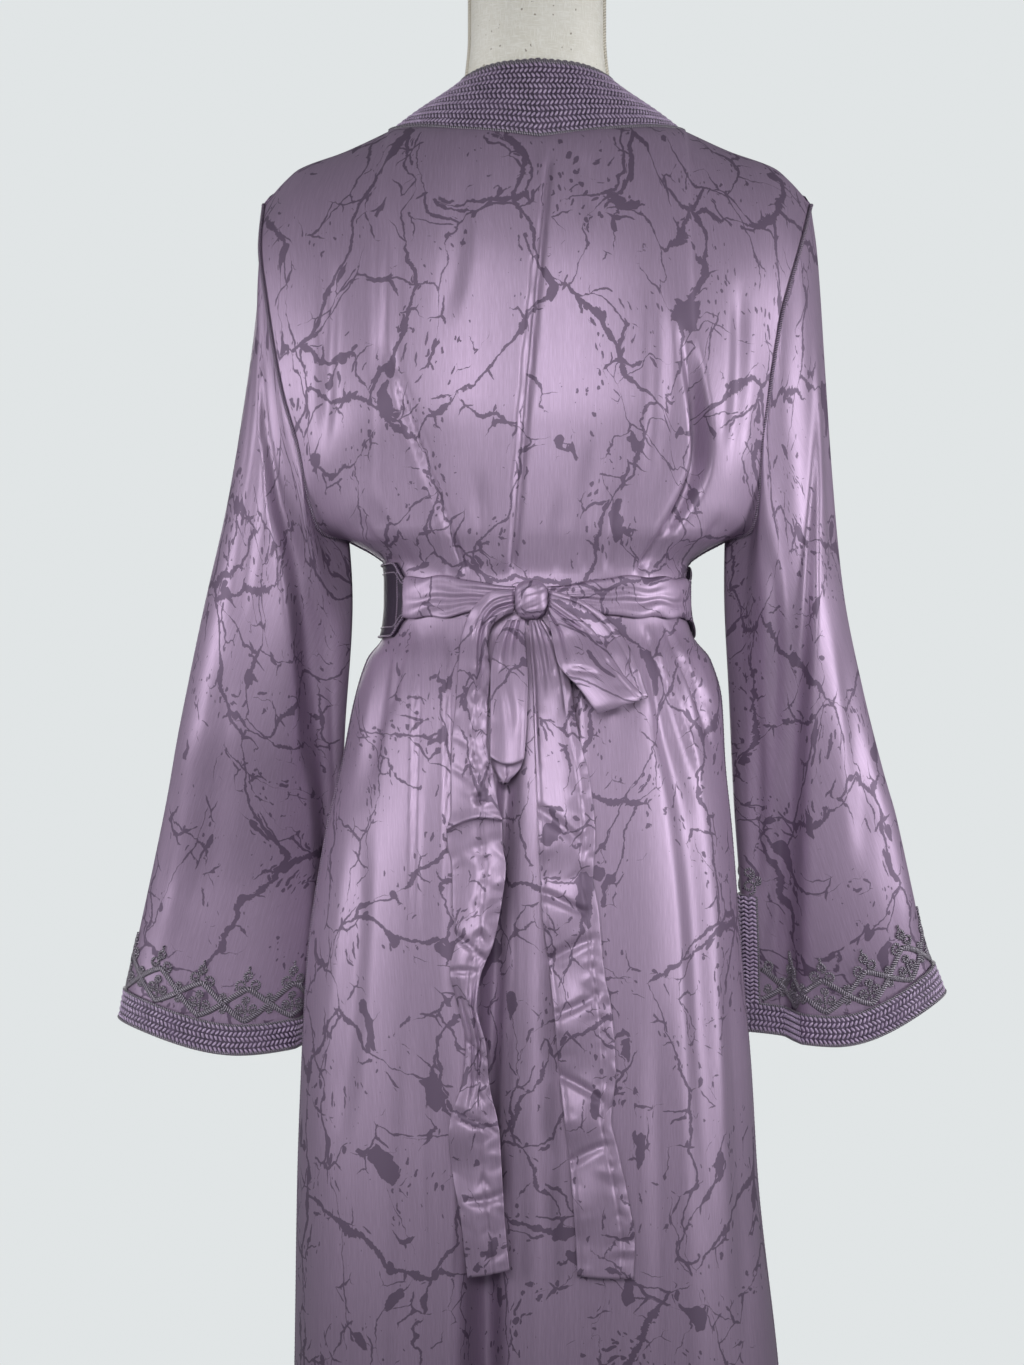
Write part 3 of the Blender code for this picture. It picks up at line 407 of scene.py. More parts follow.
def gridObject(name, grid, cut, kept=None, closed=False, flip=False):
    # a grid primitive shaped to the cloth, its own UV map holding the place in the flat cut
    if not flip:
        grid, cut = grid[:, ::-1], cut[:, ::-1]
        kept = None if kept is None else kept[:, ::-1]
    rows, columns = grid.shape[:2]
    deselectAll()
    bpy.ops.mesh.primitive_grid_add(x_subdivisions=columns - 1, y_subdivisions=rows - 1, size=1)
    obj = bpy.context.object
    mesh = obj.data
    flat = np.zeros(len(mesh.vertices) * 3)
    mesh.vertices.foreach_get("co", flat)
    flat = flat.reshape(-1, 3)
    column = np.rint((flat[:, 0] + 0.5) * (columns - 1)).astype(int)
    row = np.rint((flat[:, 1] + 0.5) * (rows - 1)).astype(int)
    mesh.vertices.foreach_set("co", grid[row, column].ravel())
    corner = np.zeros(len(mesh.loops), int)
    mesh.loops.foreach_get("vertex_index", corner)
    while mesh.uv_layers:
        mesh.uv_layers.remove(mesh.uv_layers[0])
    layer = mesh.uv_layers.new(name="cut")
    layer.data.foreach_set("uv", cut[row, column][corner].ravel())
    bpy.ops.object.mode_set(mode="EDIT")
    if kept is not None:
        bpy.ops.mesh.select_all(action="DESELECT")
        bpy.ops.object.mode_set(mode="OBJECT")
        bpy.context.tool_settings.mesh_select_mode = (False, False, True)
        for face in mesh.polygons:
            corners = [mesh.loops[k].vertex_index for k in face.loop_indices]
            face.select = not kept[row[corners].min(), column[corners].min()]
        bpy.ops.object.mode_set(mode="EDIT")
        bpy.ops.mesh.delete(type="FACE")
        bpy.context.tool_settings.mesh_select_mode = (True, False, False)
    if closed:
        bpy.ops.mesh.select_all(action="SELECT")
        bpy.ops.mesh.remove_doubles(threshold=0.000002)
    bpy.ops.object.mode_set(mode="OBJECT")
    mesh.update()
    obj.name = name
    return obj


def wall(obj, thick):
    return applied(obj, "SOLIDIFY", thickness=thick, offset=-1)


def clothPiece(name, nodeName, grid, cut, kind, finish, slot, **shape):
    obj = gridObject(name, grid, cut, **shape)
    finished(wall(obj, cloth[kind]), name, finish)
    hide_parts(nodeName)
    return obj


def joinedPiece(name, parts, finish):
    # parts are (points, faces, map) arrays, with the same number of corners to every face
    points, faces, maps, start = [], [], [], 0
    for p, f, m in parts:
        points.append(p)
        faces.append(f + start)
        maps.append(m)
        start += len(p)
    points, faces, maps = np.vstack(points), np.vstack(faces), np.vstack(maps)
    mesh = bpy.data.meshes.new(name)
    mesh.from_pydata(points.tolist(), [], faces.tolist())
    layer = mesh.uv_layers.new(name="cut")
    layer.data.foreach_set("uv", maps[faces.ravel()].ravel())
    obj = bpy.data.objects.new(name, mesh)
    bpy.context.scene.collection.objects.link(obj)
    return finished(obj, name, finish)


# Materials

def newMaterial(name, colour, rough, specular=0.5, metal=0.0, sheen=0.0):
    made = bpy.data.materials.new(name)
    made.use_nodes = True
    shader = made.node_tree.nodes["Principled BSDF"]
    shader.inputs["Base Color"].default_value = (*colour, 1)
    shader.inputs["Roughness"].default_value = rough
    shader.inputs["Specular IOR Level"].default_value = specular
    shader.inputs["Metallic"].default_value = metal
    shader.inputs["Sheen Weight"].default_value = sheen
    return made, made.node_tree, shader


def node(tree, kind, inputs=None, **values):
    made = tree.nodes.new(kind)
    for key, value in values.items():
        setattr(made, key, value)
    for key, value in (inputs or {}).items():
        if isinstance(value, bpy.types.NodeSocket):
            tree.links.new(value, made.inputs[key])
        else:
            made.inputs[key].default_value = value
    return made


def maths(tree, operation, a, b=0.0, c=None, clamp=False):
    inputs = {0: a, 1: b}
    if c is not None:
        inputs[2] = c
    return node(tree, "ShaderNodeMath", inputs, operation=operation, use_clamp=clamp).outputs[0]


def between(tree, value, low, high, toLow=0.0, toHigh=1.0, soft=True):
    kind = "SMOOTHSTEP" if soft else "LINEAR"
    inputs = {"Value": value, "From Min": low, "From Max": high, "To Min": toLow, "To Max": toHigh}
    return node(tree, "ShaderNodeMapRange", inputs, interpolation_type=kind).outputs[0]


def mapped(tree, place, scale, move=(0, 0, 0)):
    return node(tree, "ShaderNodeMapping", {"Vector": place, "Scale": scale, "Location": move}).outputs[0]


def cutPlace(tree, scale=(1, 1, 1)):
    return mapped(tree, node(tree, "ShaderNodeUVMap", uv_map="cut").outputs[0], scale)


def bumped(tree, shader, height, strength, distance):
    bump = node(tree, "ShaderNodeBump", {"Height": height, "Strength": strength, "Distance": distance})
    tree.links.new(bump.outputs[0], shader.inputs["Normal"])


def darker(colour, share):
    return (*(channel * share for channel in colour[:3]), 1)


def noise(tree, place, scale, detail=2.0, rough=0.5, flat=True):
    made = node(tree, "ShaderNodeTexNoise", {"Vector": place, "Scale": scale, "Detail": detail, "Roughness": rough},
                noise_dimensions="2D" if flat else "3D")
    return made.outputs[0], made.outputs[1]


def shifted(tree, place, colour, amount):
    centred = node(tree, "ShaderNodeVectorMath", {0: colour, 1: (0.5, 0.5, 0.5)}, operation="SUBTRACT").outputs[0]
    inputs = {0: centred, 1: (amount, amount, 0)}
    step = node(tree, "ShaderNodeVectorMath", inputs, operation="MULTIPLY").outputs[0]
    return node(tree, "ShaderNodeVectorMath", {0: place, 1: step}, operation="ADD").outputs[0]


def colourMix(tree, share, first, second, blend="MIX"):
    made = node(tree, "ShaderNodeMix", data_type="RGBA", blend_type=blend)
    for socket, value in ((0, share), (6, first), (7, second)):
        if isinstance(value, bpy.types.NodeSocket):
            tree.links.new(value, made.inputs[socket])
        else:
            made.inputs[socket].default_value = value
    return made.outputs[2]


satinLook = {
    "ground": (0.310, 0.228, 0.336, 1),
    "vein": (0.120, 0.083, 0.136, 1),
    "groundRough": 0.46,
    "veinRough": 0.56,
    "metal": 0.40,
    "nets": (  # cells a metre, place, strength noise, weakest and strongest shown, widest half width
        (7.8, (0.0, 0.0), 12.0, 0.26, 0.84, 0.0044),
        (13.0, (0.37, 0.21), 10.0, 0.37, 0.84, 0.0029),
    ),
    "netTall": 0.74,  # below 1, a pattern is drawn long down the cloth
    "twigs": (34.0, 0.0012, 0.024),  # cells a metre, half width, how far they reach from a vein
    "blots": (0.785, 0.792),  # noise where a blot begins and is full
    "blotTall": 0.5,
    "specks": 170.0,  # cells a metre
    "speckTall": 0.52,
    "bent": ((9.0, 0.070), (42.0, 0.0125), (260.0, 0.0021)),  # noise cells a metre, metres that they move the pattern
    "shades": (0.84, 0.78),  # of the ground, along its woven lines and its slubs
    "thread": 0.00012,  # height of the woven lines
}


def crackle(tree, cut):
    # 1 on the printed veins, blots and specks, 0 on the ground
    look = satinLook
    rough = cut
    for (scale, amount), roughness in zip(look["bent"], (0.5, 0.6, 0.6)):
        rough = shifted(tree, rough, noise(tree, cut, scale, 2.0, roughness)[1], amount)

    def fromEdge(place, scale):
        made = node(tree, "ShaderNodeTexVoronoi", {"Vector": place, "Scale": scale, "Randomness": 1.0},
                    feature="DISTANCE_TO_EDGE", voronoi_dimensions="2D")
        return maths(tree, "DIVIDE", made.outputs["Distance"], scale)

    total, nearest = None, None
    for scale, move, noiseScale, low, high, widest in look["nets"]:
        place = mapped(tree, rough, (1.0, look["netTall"], 1), (*move, 0))
        away = fromEdge(place, scale)
        strength, _ = noise(tree, place, noiseScale, 3.0, 0.6)
        ragged, _ = noise(tree, place, 330.0, 2.0, 0.6)
        thick = between(tree, strength, low, high, -0.0004, widest, soft=False)
        thick = maths(tree, "MULTIPLY", thick, between(tree, ragged, 0.2, 0.8, 0.55, 1.5, soft=False))
        # a vein ends in a point where it grows weak, and a cell's distance grows there
        mask = between(tree, maths(tree, "SUBTRACT", thick, away), 0.0, 0.0003, 0, 1)
        reach = maths(tree, "ADD", away, between(tree, strength, low - 0.08, low + 0.02, 0.05, 0.0))
        total = mask if total is None else maths(tree, "MAXIMUM", total, mask)
        nearest = reach if nearest is None else maths(tree, "MINIMUM", nearest, reach)
    # twigs leave the veins and fade
    scale, half, reach = look["twigs"]
    away = fromEdge(rough, scale)
    chance, _ = noise(tree, cut, 37.0, 2.0, 0.6)
    thick = maths(tree, "MULTIPLY", between(tree, nearest, 0.0, reach, half * 1.5, -0.0007, soft=False),
                  between(tree, chance, 0.46, 0.56, 0, 1))
    total = maths(tree, "MAXIMUM", total, between(tree, maths(tree, "SUBTRACT", thick, away), 0.0, 0.0003, 0, 1))
    # blots gather on the veins, drawn long
    blot, _ = noise(tree, mapped(tree, rough, (1.0, look["blotTall"], 1)), 34.0, 2.0, 0.5)
    near = between(tree, nearest, 0.002, 0.012, 0.13, -0.02)
    total = maths(tree, "MAXIMUM", total, between(tree, maths(tree, "ADD", blot, near), *look["blots"], 0, 1))
    # specks, longer than wide, in drifts
    crowd, _ = noise(tree, cut, 14.0, 2.0, 0.5)
    crowd = maths(tree, "ADD", crowd, between(tree, nearest, 0.0, 0.03, 0.10, 0.0))
    tall = mapped(tree, rough, (1.0, look["speckTall"], 1))
    dots = node(tree, "ShaderNodeTexVoronoi", {"Vector": tall, "Scale": look["specks"], "Randomness": 1.0},
                feature="F1", voronoi_dimensions="2D")
    size, _ = noise(tree, dots.outputs["Position"], 900.0, 0.0, 0.5)
    drift = between(tree, crowd, 0.46, 0.74, -0.20, 0.14, soft=False)
    room = maths(tree, "ADD", drift, between(tree, size, 0.40, 0.75, -0.10, 0.22, soft=False))
    inside = maths(tree, "SUBTRACT", room, dots.outputs["Distance"])
    return maths(tree, "MAXIMUM", total, between(tree, inside, 0.0, 0.04, 0, 1))


def satinMaterial():
    look = satinLook
    made, tree, shader = newMaterial("satin", look["ground"][:3], look["groundRough"], 0.4, look["metal"])
    mask = crackle(tree, cutPlace(tree))
    lines, _ = noise(tree, cutPlace(tree, (2600, 70, 1)), 1.0, 2.0, 0.6)
    slub, _ = noise(tree, cutPlace(tree, (420, 14, 1)), 1.0, 2.0, 0.5)
    woven, slubbed = (darker(look["ground"], share) for share in look["shades"])
    ground = colourMix(tree, between(tree, lines, 0.3, 0.7), look["ground"], woven)
    ground = colourMix(tree, between(tree, slub, 0.35, 0.75, 0.0, 0.4), ground, slubbed)
    tree.links.new(colourMix(tree, mask, ground, look["vein"]), shader.inputs["Base Color"])
    rough = between(tree, mask, 0, 1, look["groundRough"], look["veinRough"], soft=False)
    tree.links.new(rough, shader.inputs["Roughness"])
    bumped(tree, shader, maths(tree, "MULTIPLY", lines, look["thread"]), 0.35, 1.0)
    return made


braidLook = {"ground": (0.020, 0.012, 0.028, 1), "thread": (0.520, 0.410, 0.590, 1), "dark": (0.150, 0.100, 0.180, 1)}


def braidMaterial(name, light):
    colour = braidLook["thread"] if light else braidLook["ground"]
    made, tree, shader = newMaterial(name, colour[:3], 0.45 if light else 0.6, sheen=0.2)
    grain, _ = noise(tree, cutPlace(tree, (900, 900, 1)), 1.0, 2.0, 0.6)
    tone, _ = noise(tree, cutPlace(tree, (60, 60, 1)), 1.0, 2.0, 0.6)
    mixed = colourMix(tree, between(tree, grain, 0.35, 0.7, 0.0, 0.55), colour, braidLook["dark"])
    mixed = colourMix(tree, between(tree, tone, 0.3, 0.7, 0.0, 0.35), mixed, braidLook["dark"])
    tree.links.new(mixed, shader.inputs["Base Color"])
    bumped(tree, shader, grain, 0.4, 0.0003)
    return made


def cordMaterial(name, light, dark, pitch, metal):
    # twisted strands: stripes that climb round the cord, light is the cord's own colour and dark is painted shade in
    # the grooves between its strands, map = length along, turn round
    made, tree, shader = newMaterial(name, light, 0.38, metal=metal, sheen=0.1)
    parts = node(tree, "ShaderNodeSeparateXYZ", {0: node(tree, "ShaderNodeUVMap", uv_map="cut").outputs[0]})
    turn = maths(tree, "ADD", maths(tree, "DIVIDE", parts.outputs[0], pitch), parts.outputs[1])
    wave = maths(tree, "SINE", maths(tree, "MULTIPLY", turn, 4 * math.pi))
    grain, _ = noise(tree, cutPlace(tree, (1500, 12, 1)), 1.0, 2.0, 0.6)
    # painted shade: the stripes darken the cord toward dark where the twist's grooves lie, and the grain adds random
    # darkening toward the same colour
    mixed = colourMix(tree, between(tree, wave, -0.6, 0.7), (*dark, 1), (*light, 1))
    mixed = colourMix(tree, between(tree, grain, 0.4, 0.75, 0.0, 0.4), mixed, (*dark, 1))
    tree.links.new(mixed, shader.inputs["Base Color"])
    bumped(tree, shader, wave, 0.6, 0.0004)
    return made


# the belt's own dark purple with the satin's printed veins, darkened further as painted shade for the shadow over the
# belt's ends
beltShadedLook = {"ground": (0.022, 0.014, 0.028, 1), "vein": (0.044, 0.030, 0.053, 1)}


def beltShadedMaterial():
    made, tree, shader = newMaterial("beltClothShaded", beltShadedLook["ground"][:3], 0.5, specular=0.3)
    colour = colourMix(tree, crackle(tree, cutPlace(tree)), beltShadedLook["ground"], beltShadedLook["vein"])
    tree.links.new(colour, shader.inputs["Base Color"])
    grain, _ = noise(tree, cutPlace(tree, (2200, 90, 1)), 1.0, 2.0, 0.6)
    bumped(tree, shader, grain, 0.4, 0.0002)
    return made


linenLook = {
    "base": (0.78, 0.75, 0.68),
    "weave": ((0.78, 0.75, 0.67, 1), (0.90, 0.88, 0.82, 1)),
    "mottle": (0.93, 0.91, 0.86, 1),
    "fleck": (0.25, 0.20, 0.15, 1),
}


def linenMaterial():
    look = linenLook
    made, tree, shader = newMaterial("formLinen", look["base"], 0.9, specular=0.2)
    place = node(tree, "ShaderNodeTexCoord").outputs["Object"]
    warp, _ = noise(tree, mapped(tree, place, (900, 900, 160)), 1.0, 2.0, 0.5, flat=False)
    weft, _ = noise(tree, mapped(tree, place, (140, 140, 900)), 1.0, 2.0, 0.5, flat=False)
    weave = maths(tree, "MAXIMUM", warp, weft)
    mottle, _ = noise(tree, place, 30.0, 3.0, 0.6, flat=False)
    fleck, _ = noise(tree, place, 260.0, 1.0, 0.4, flat=False)
    colour = colourMix(tree, between(tree, weave, 0.45, 0.75), *look["weave"])
    colour = colourMix(tree, between(tree, mottle, 0.35, 0.7, 0.0, 0.35), colour, look["mottle"])
    colour = colourMix(tree, between(tree, fleck, 0.73, 0.76, 0.0, 0.8), colour, look["fleck"])
    tree.links.new(colour, shader.inputs["Base Color"])
    bumped(tree, shader, weave, 0.5, 0.0004)
    return made


def metalMaterial():
    made, tree, shader = newMaterial("standMetal", (0.62, 0.62, 0.63), 0.32, metal=0.85)
    place = node(tree, "ShaderNodeTexCoord").outputs["Object"]
    brushed, _ = noise(tree, mapped(tree, place, (300, 300, 40)), 1.0, 3.0, 0.6, flat=False)
    tree.links.new(between(tree, brushed, 0.3, 0.7, 0.26, 0.42), shader.inputs["Roughness"])
    return made


satin = satinMaterial()
braidGround = braidMaterial("braidGround", False)
braidThread = braidMaterial("braidThread", True)
# each cord's second colour is painted shade for the grooves of its twist
cordGrey = cordMaterial("cordGrey", (0.320, 0.280, 0.340), (0.026, 0.020, 0.034), 0.0042, 0.2)
cordLilac = cordMaterial("cordLilac", (0.260, 0.190, 0.280), (0.050, 0.032, 0.062), 0.0042, 0.1)
cordCream = cordMaterial("cordCream", (0.80, 0.76, 0.68), (0.50, 0.46, 0.38), 0.0050, 0.0)
# belt cloth colour: its own dark purple plus painted shade
beltClothShaded = beltShadedMaterial()
linen = linenMaterial()
standMetal = metalMaterial()
print("materials made")

# Cords, braid stitches and sewn lines

cordShape = {
    "sides": 7,
    "step": 0.0014,
    "groove": 0.20,
    "double": {"sides": 8, "apart": 0.95, "flat": 0.55, "tall": 1.6, "least": 0.5, "most": 1.2, "beads": 0.10},
}


def resampled(path, step, *more):
    length = runLength(path)
    count = max(2, int(round(length[-1] / step)) + 1)
    at = np.linspace(0, length[-1], count)
    values = [np.stack([np.interp(at, length, column) for column in line.T], -1) for line in (path, *more)]
    return (at, *values)


def cordSection(at, turn, radius, pitch, double):
    # how far the cord's skin stands across and above its path
    if double:
        pair, lobe = cordShape["double"], abs(np.cos(turn))
        wide = 1.0 + pair["apart"] * lobe
        high = radius * (pair["flat"] + (1 - pair["flat"]) * lobe**0.5) / np.maximum(wide, 1)
        tall = np.clip(high / radius * pair["tall"], pair["least"], pair["most"])
        beads = 1 + pair["beads"] * np.sin(2 * math.pi * at / pitch)[:, None]
        return radius * wide * np.cos(turn) * beads, radius * wide * np.sin(turn) * tall * beads
    grooved = 1 - cordShape["groove"] * (0.5 + 0.5 * np.cos(2 * (turn + 2 * math.pi * at[:, None] / pitch)))
    return radius * grooved * np.cos(turn), radius * grooved * np.sin(turn)


def sweptCord(path, up, radius, pitch=0.0042, double=False, step=None):
    # a twisted cord along the path, or two side by side when double, standing on the side that up faces
    at, path, up = resampled(path, step or cordShape["step"], up)
    tangent = unit(np.gradient(path, axis=0))
    side = unit(np.cross(tangent, up))
    up = np.cross(side, tangent)
    sides = cordShape["double"]["sides"] if double else cordShape["sides"]
    turn = np.linspace(0, 2 * math.pi, sides, endpoint=False)
    across, above = cordSection(at, turn, radius, pitch, double)
    points = path[:, None] + across[..., None] * side[:, None] + above[..., None] * up[:, None]
    rows = np.arange(len(path) * sides).reshape(len(path), sides)
    around = np.roll(rows, -1, axis=1)
    faces = np.stack([rows[:-1], around[:-1], around[1:], rows[1:]], -1).reshape(-1, 4)
    points = points.reshape(-1, 3)
    maps = np.stack([np.repeat(at, sides), np.tile(turn / (2 * math.pi), len(path))], -1)
    for ring, end in ((rows[0][::-1], path[0]), (rows[-1], path[-1])):
        # a fan of four-cornered faces closes each end, with one more corner where the sides are odd in number
        middle, corners, added = len(points), list(ring), [end]
        if sides % 2:
            corners.append(middle + 1)
            added.append((points[ring[-1]] + points[ring[0]]) / 2)
        points = np.vstack([points, added])
        maps = np.vstack([maps, maps[[ring[0]] * len(added)]])
        corners.append(corners[0])
        fan = [(*corners[i : i + 3], middle) for i in range(0, len(corners) - 1, 2)]
        faces = np.vstack([faces, fan])
    return points, faces, maps


def surfaceAt(grid, normal, row, column):
    # points and normals at fractional rows and columns of a grid
    row = np.clip(row, 0, grid.shape[0] - 1.000001)
    column = np.clip(column, 0, grid.shape[1] - 1.000001)
    r, c = row.astype(int), column.astype(int)
    fr, fc = (row - r)[..., None], (column - c)[..., None]

    def mixed(values):
        low = values[r, c] * (1 - fc) + values[r, c + 1] * fc
        high = values[r + 1, c] * (1 - fc) + values[r + 1, c + 1] * fc
        return low * (1 - fr) + high * fr

    return mixed(grid), unit(mixed(normal))


def stitchShape():
    # one plump stitch, a small ball drawn long; every stitch is a copy of it
    deselectAll()
    bpy.ops.mesh.primitive_ico_sphere_add(subdivisions=1, radius=1)
    ball = bpy.context.object
    points = np.array([v.co[:] for v in ball.data.vertices])
    faces = np.array([p.vertices[:] for p in ball.data.polygons])
    bpy.data.objects.remove(ball)
    return points, faces


stitchPoints, stitchFaces = stitchShape()
stitch = {"pitch": 0.0040, "long": 0.0029, "wide": 0.00115, "high": 0.0010, "slant": 0.62}


def stitchLine(path, up, tilt, pitch, size, lift=0.0003):
    # stitches along a path, each slanted by tilt from the cross direction
    at, path, up = resampled(path, pitch, up)
    path, up = (path[:-1] + path[1:]) / 2, (up[:-1] + up[1:]) / 2
    tangent, up = unit(np.gradient(path, axis=0)), unit(up)
    across = np.cross(up, tangent)
    long = math.cos(tilt) * across + math.sin(tilt) * tangent
    wide = np.cross(up, long)
    p = stitchPoints
    points = path[:, None] + up[:, None] * (lift + size[2] * p[None, :, 2:3])
    points = points + long[:, None] * size[0] * p[None, :, :1] + wide[:, None] * size[1] * p[None, :, 1:2]
    count = len(path)
    faces = stitchFaces[None] + (np.arange(count) * len(p))[:, None, None]
    maps = np.repeat(np.stack([at[:-1], 0 * at[:-1]], -1), len(p), axis=0) + np.tile(p[:, :2] * 0.002, (count, 1))
    return points.reshape(-1, 3), faces.reshape(-1, 3), maps


def braidRows(grid, rows, alongRows=False, sign=1, pitch=stitch["pitch"]):
    # rows of slanted stitches on a band, whose length runs along the grid's columns, or along its rows
    normal = sign * facing(grid)
    lines = []
    for k in range(rows):
        share = (k + 0.5) / rows
        if alongRows:
            place = surfaceAt(grid, normal, np.arange(grid.shape[0], dtype=float),
                              np.full(grid.shape[0], share * (grid.shape[1] - 1)))
        else:
            place = surfaceAt(grid, normal, np.full(grid.shape[1], share * (grid.shape[0] - 1)),
                              np.arange(grid.shape[1], dtype=float))
        tilt = stitch["slant"] if k % 2 else -stitch["slant"]
        size = (stitch["long"], stitch["wide"] * pitch / stitch["pitch"], stitch["high"])
        lines.append(stitchLine(*place, tilt, pitch, size))
    return lines


# Back and fronts

back = {
    "columns": 180,
    "skirtRows": 150,
    "waistRows": 24,
    "upperRows": 72,
    "hem": 0.040,
    "hip": 1.010,  # where the closer rows of the waist begin
    "folds": (  # top, foot, x at top, middle, foot, half width at top, foot, depth at top, middle, foot
        (1.040, 0.040, 0.018, 0.046, 0.048, 0.008, 0.043, 0.000, -0.036, -0.050),
        (1.040, 0.040, 0.003, 0.002, 0.000, 0.016, 0.026, 0.000, 0.006, 0.010),
        (1.020, 0.520, -0.100, -0.135, -0.142, 0.020, 0.018, 0.000, -0.007, 0.000),
        (0.800, 0.040, 0.110, 0.122, 0.130, 0.030, 0.045, 0.000, 0.004, 0.009),
        (0.760, 0.040, -0.070, -0.062, -0.060, 0.030, 0.040, 0.000, -0.005, -0.012),
        (0.720, 0.040, -0.120, -0.135, -0.145, 0.025, 0.040, 0.000, 0.004, 0.008),
        (1.150, 1.085, 0.145, 0.128, 0.104, 0.014, 0.010, 0.000, -0.003, -0.002),
        (1.290, 1.080, -0.122, -0.138, -0.086, 0.012, 0.010, -0.001, -0.019, -0.004),
    ),
    "laps": (  # top, foot, x at top, middle, foot, side it lies to, step at top, middle, foot, reach
        (1.442, 1.072, -0.0070, 0.0110, 0.0263, 1, 0.0028, 0.0044, 0.0044, 0.042),
        (1.272, 1.072, 0.1307, 0.0960, 0.0595, 1, 0.0014, 0.0042, 0.0044, 0.034),
        (1.120, 1.072, -0.1100, -0.0960, -0.0830, -1, 0.0008, 0.0030, 0.0040, 0.030),
        (1.040, 0.760, 0.1030, 0.1040, 0.1060, 1, 0.0030, 0.0022, 0.0002, 0.038),
        (1.040, 0.700, 0.0770, 0.0765, 0.0760, 1, 0.0026, 0.0020, 0.0002, 0.026),
        (1.040, 0.640, -0.0300, -0.0330, -0.0360, -1, 0.0034, 0.0026, 0.0004, 0.026),
        (1.040, 0.900, -0.0900, -0.1180, -0.1390, -1, 0.0044, 0.0040, 0.0004, 0.030),
        (1.040, 0.930, -0.1100, -0.1360, -0.1540, -1, 0.0036, 0.0034, 0.0004, 0.022),
    ),
    "pleatTop": 1.04,
    "pleatHalves": (0.008, 0.016),
    "pleats": (  # x under the belt, x at the foot, height of the foot, depth
        (0.124, 0.150, 0.880, 0.006),
        (0.092, 0.100, 0.900, 0.002),
        (-0.020, -0.030, 0.900, 0.004),
        (-0.050, -0.058, 0.940, 0.002),
        (-0.084, -0.124, 0.900, 0.006),
        (-0.122, -0.154, 0.920, 0.004),
    ),
    "creases": (  # x, height at start, at end, bow, half width at start, end, depth, sharpness
        (0.130, 1.410, 0.133, 1.210, 0.004, 0.016, 0.014, -0.0040, 0.1),
        (0.066, 1.440, 0.080, 1.280, 0.006, 0.018, 0.014, -0.0022, 0.0),
        (0.122, 1.240, 0.074, 1.070, 0.004, 0.010, 0.007, -0.0016, 0.2),
        (0.052, 1.170, 0.042, 1.060, 0.000, 0.012, 0.005, -0.0020, 0.4),
        (0.086, 1.150, 0.074, 1.060, 0.000, 0.010, 0.004, -0.0022, 0.4),
        (-0.020, 1.150, -0.012, 1.060, 0.000, 0.012, 0.005, -0.0018, 0.4),
        (-0.044, 1.200, -0.034, 1.060, 0.002, 0.014, 0.005, -0.0024, 0.4),
        (-0.068, 1.160, -0.056, 1.060, 0.000, 0.010, 0.005, -0.0026, 0.4),
        (-0.098, 1.330, -0.090, 1.140, 0.006, 0.016, 0.012, -0.0026, 0.0),
        (-0.170, 1.340, -0.160, 1.160, 0.006, 0.012, 0.014, -0.0040, 0.1),
        (0.178, 1.360, 0.186, 1.170, 0.004, 0.012, 0.012, -0.0036, 0.1),
        (-0.035, 1.440, -0.046, 1.370, 0.000, 0.010, 0.010, -0.0016, 0.0),
        (0.160, 1.140, 0.110, 1.085, -0.004, 0.008, 0.006, -0.0030, 0.3),
        (-0.160, 1.135, -0.115, 1.085, 0.004, 0.008, 0.006, -0.0030, 0.3),
        (0.112, 1.040, 0.132, 0.950, 0.003, 0.006, 0.010, -0.0030, 0.4),
        (0.086, 1.040, 0.092, 0.930, 0.002, 0.006, 0.011, -0.0014, 0.2),
        (-0.060, 1.040, -0.078, 0.950, 0.002, 0.006, 0.012, -0.0018, 0.2),
        (-0.100, 1.040, -0.140, 0.930, -0.004, 0.006, 0.012, -0.0050, 0.5),
        (-0.110, 1.035, -0.152, 0.960, -0.003, 0.005, 0.009, -0.0045, 0.6),
        (-0.086, 0.980, -0.132, 0.860, 0.004, 0.012, 0.018, -0.0030, 0.1),
        (0.150, 0.900, 0.176, 0.560, 0.006, 0.016, 0.024, -0.0045, 0.1),
        (0.096, 0.760, 0.104, 0.300, 0.004, 0.020, 0.030, -0.0040, 0.1),
        (-0.096, 0.760, -0.100, 0.250, 0.004, 0.018, 0.028, -0.0040, 0.1),
        (-0.160, 0.800, -0.178, 0.380, 0.004, 0.014, 0.022, -0.0040, 0.1),
        (0.010, 0.640, 0.020, 0.200, 0.002, 0.012, 0.018, -0.0030, 0.1),
    ),
    "flat": (0.760, 1.500),
    "area": 0.74,
    "map": (0.0, 0.0),
    "fades": (8, 12),  # powers that keep the softening and the folds off the side seams
}

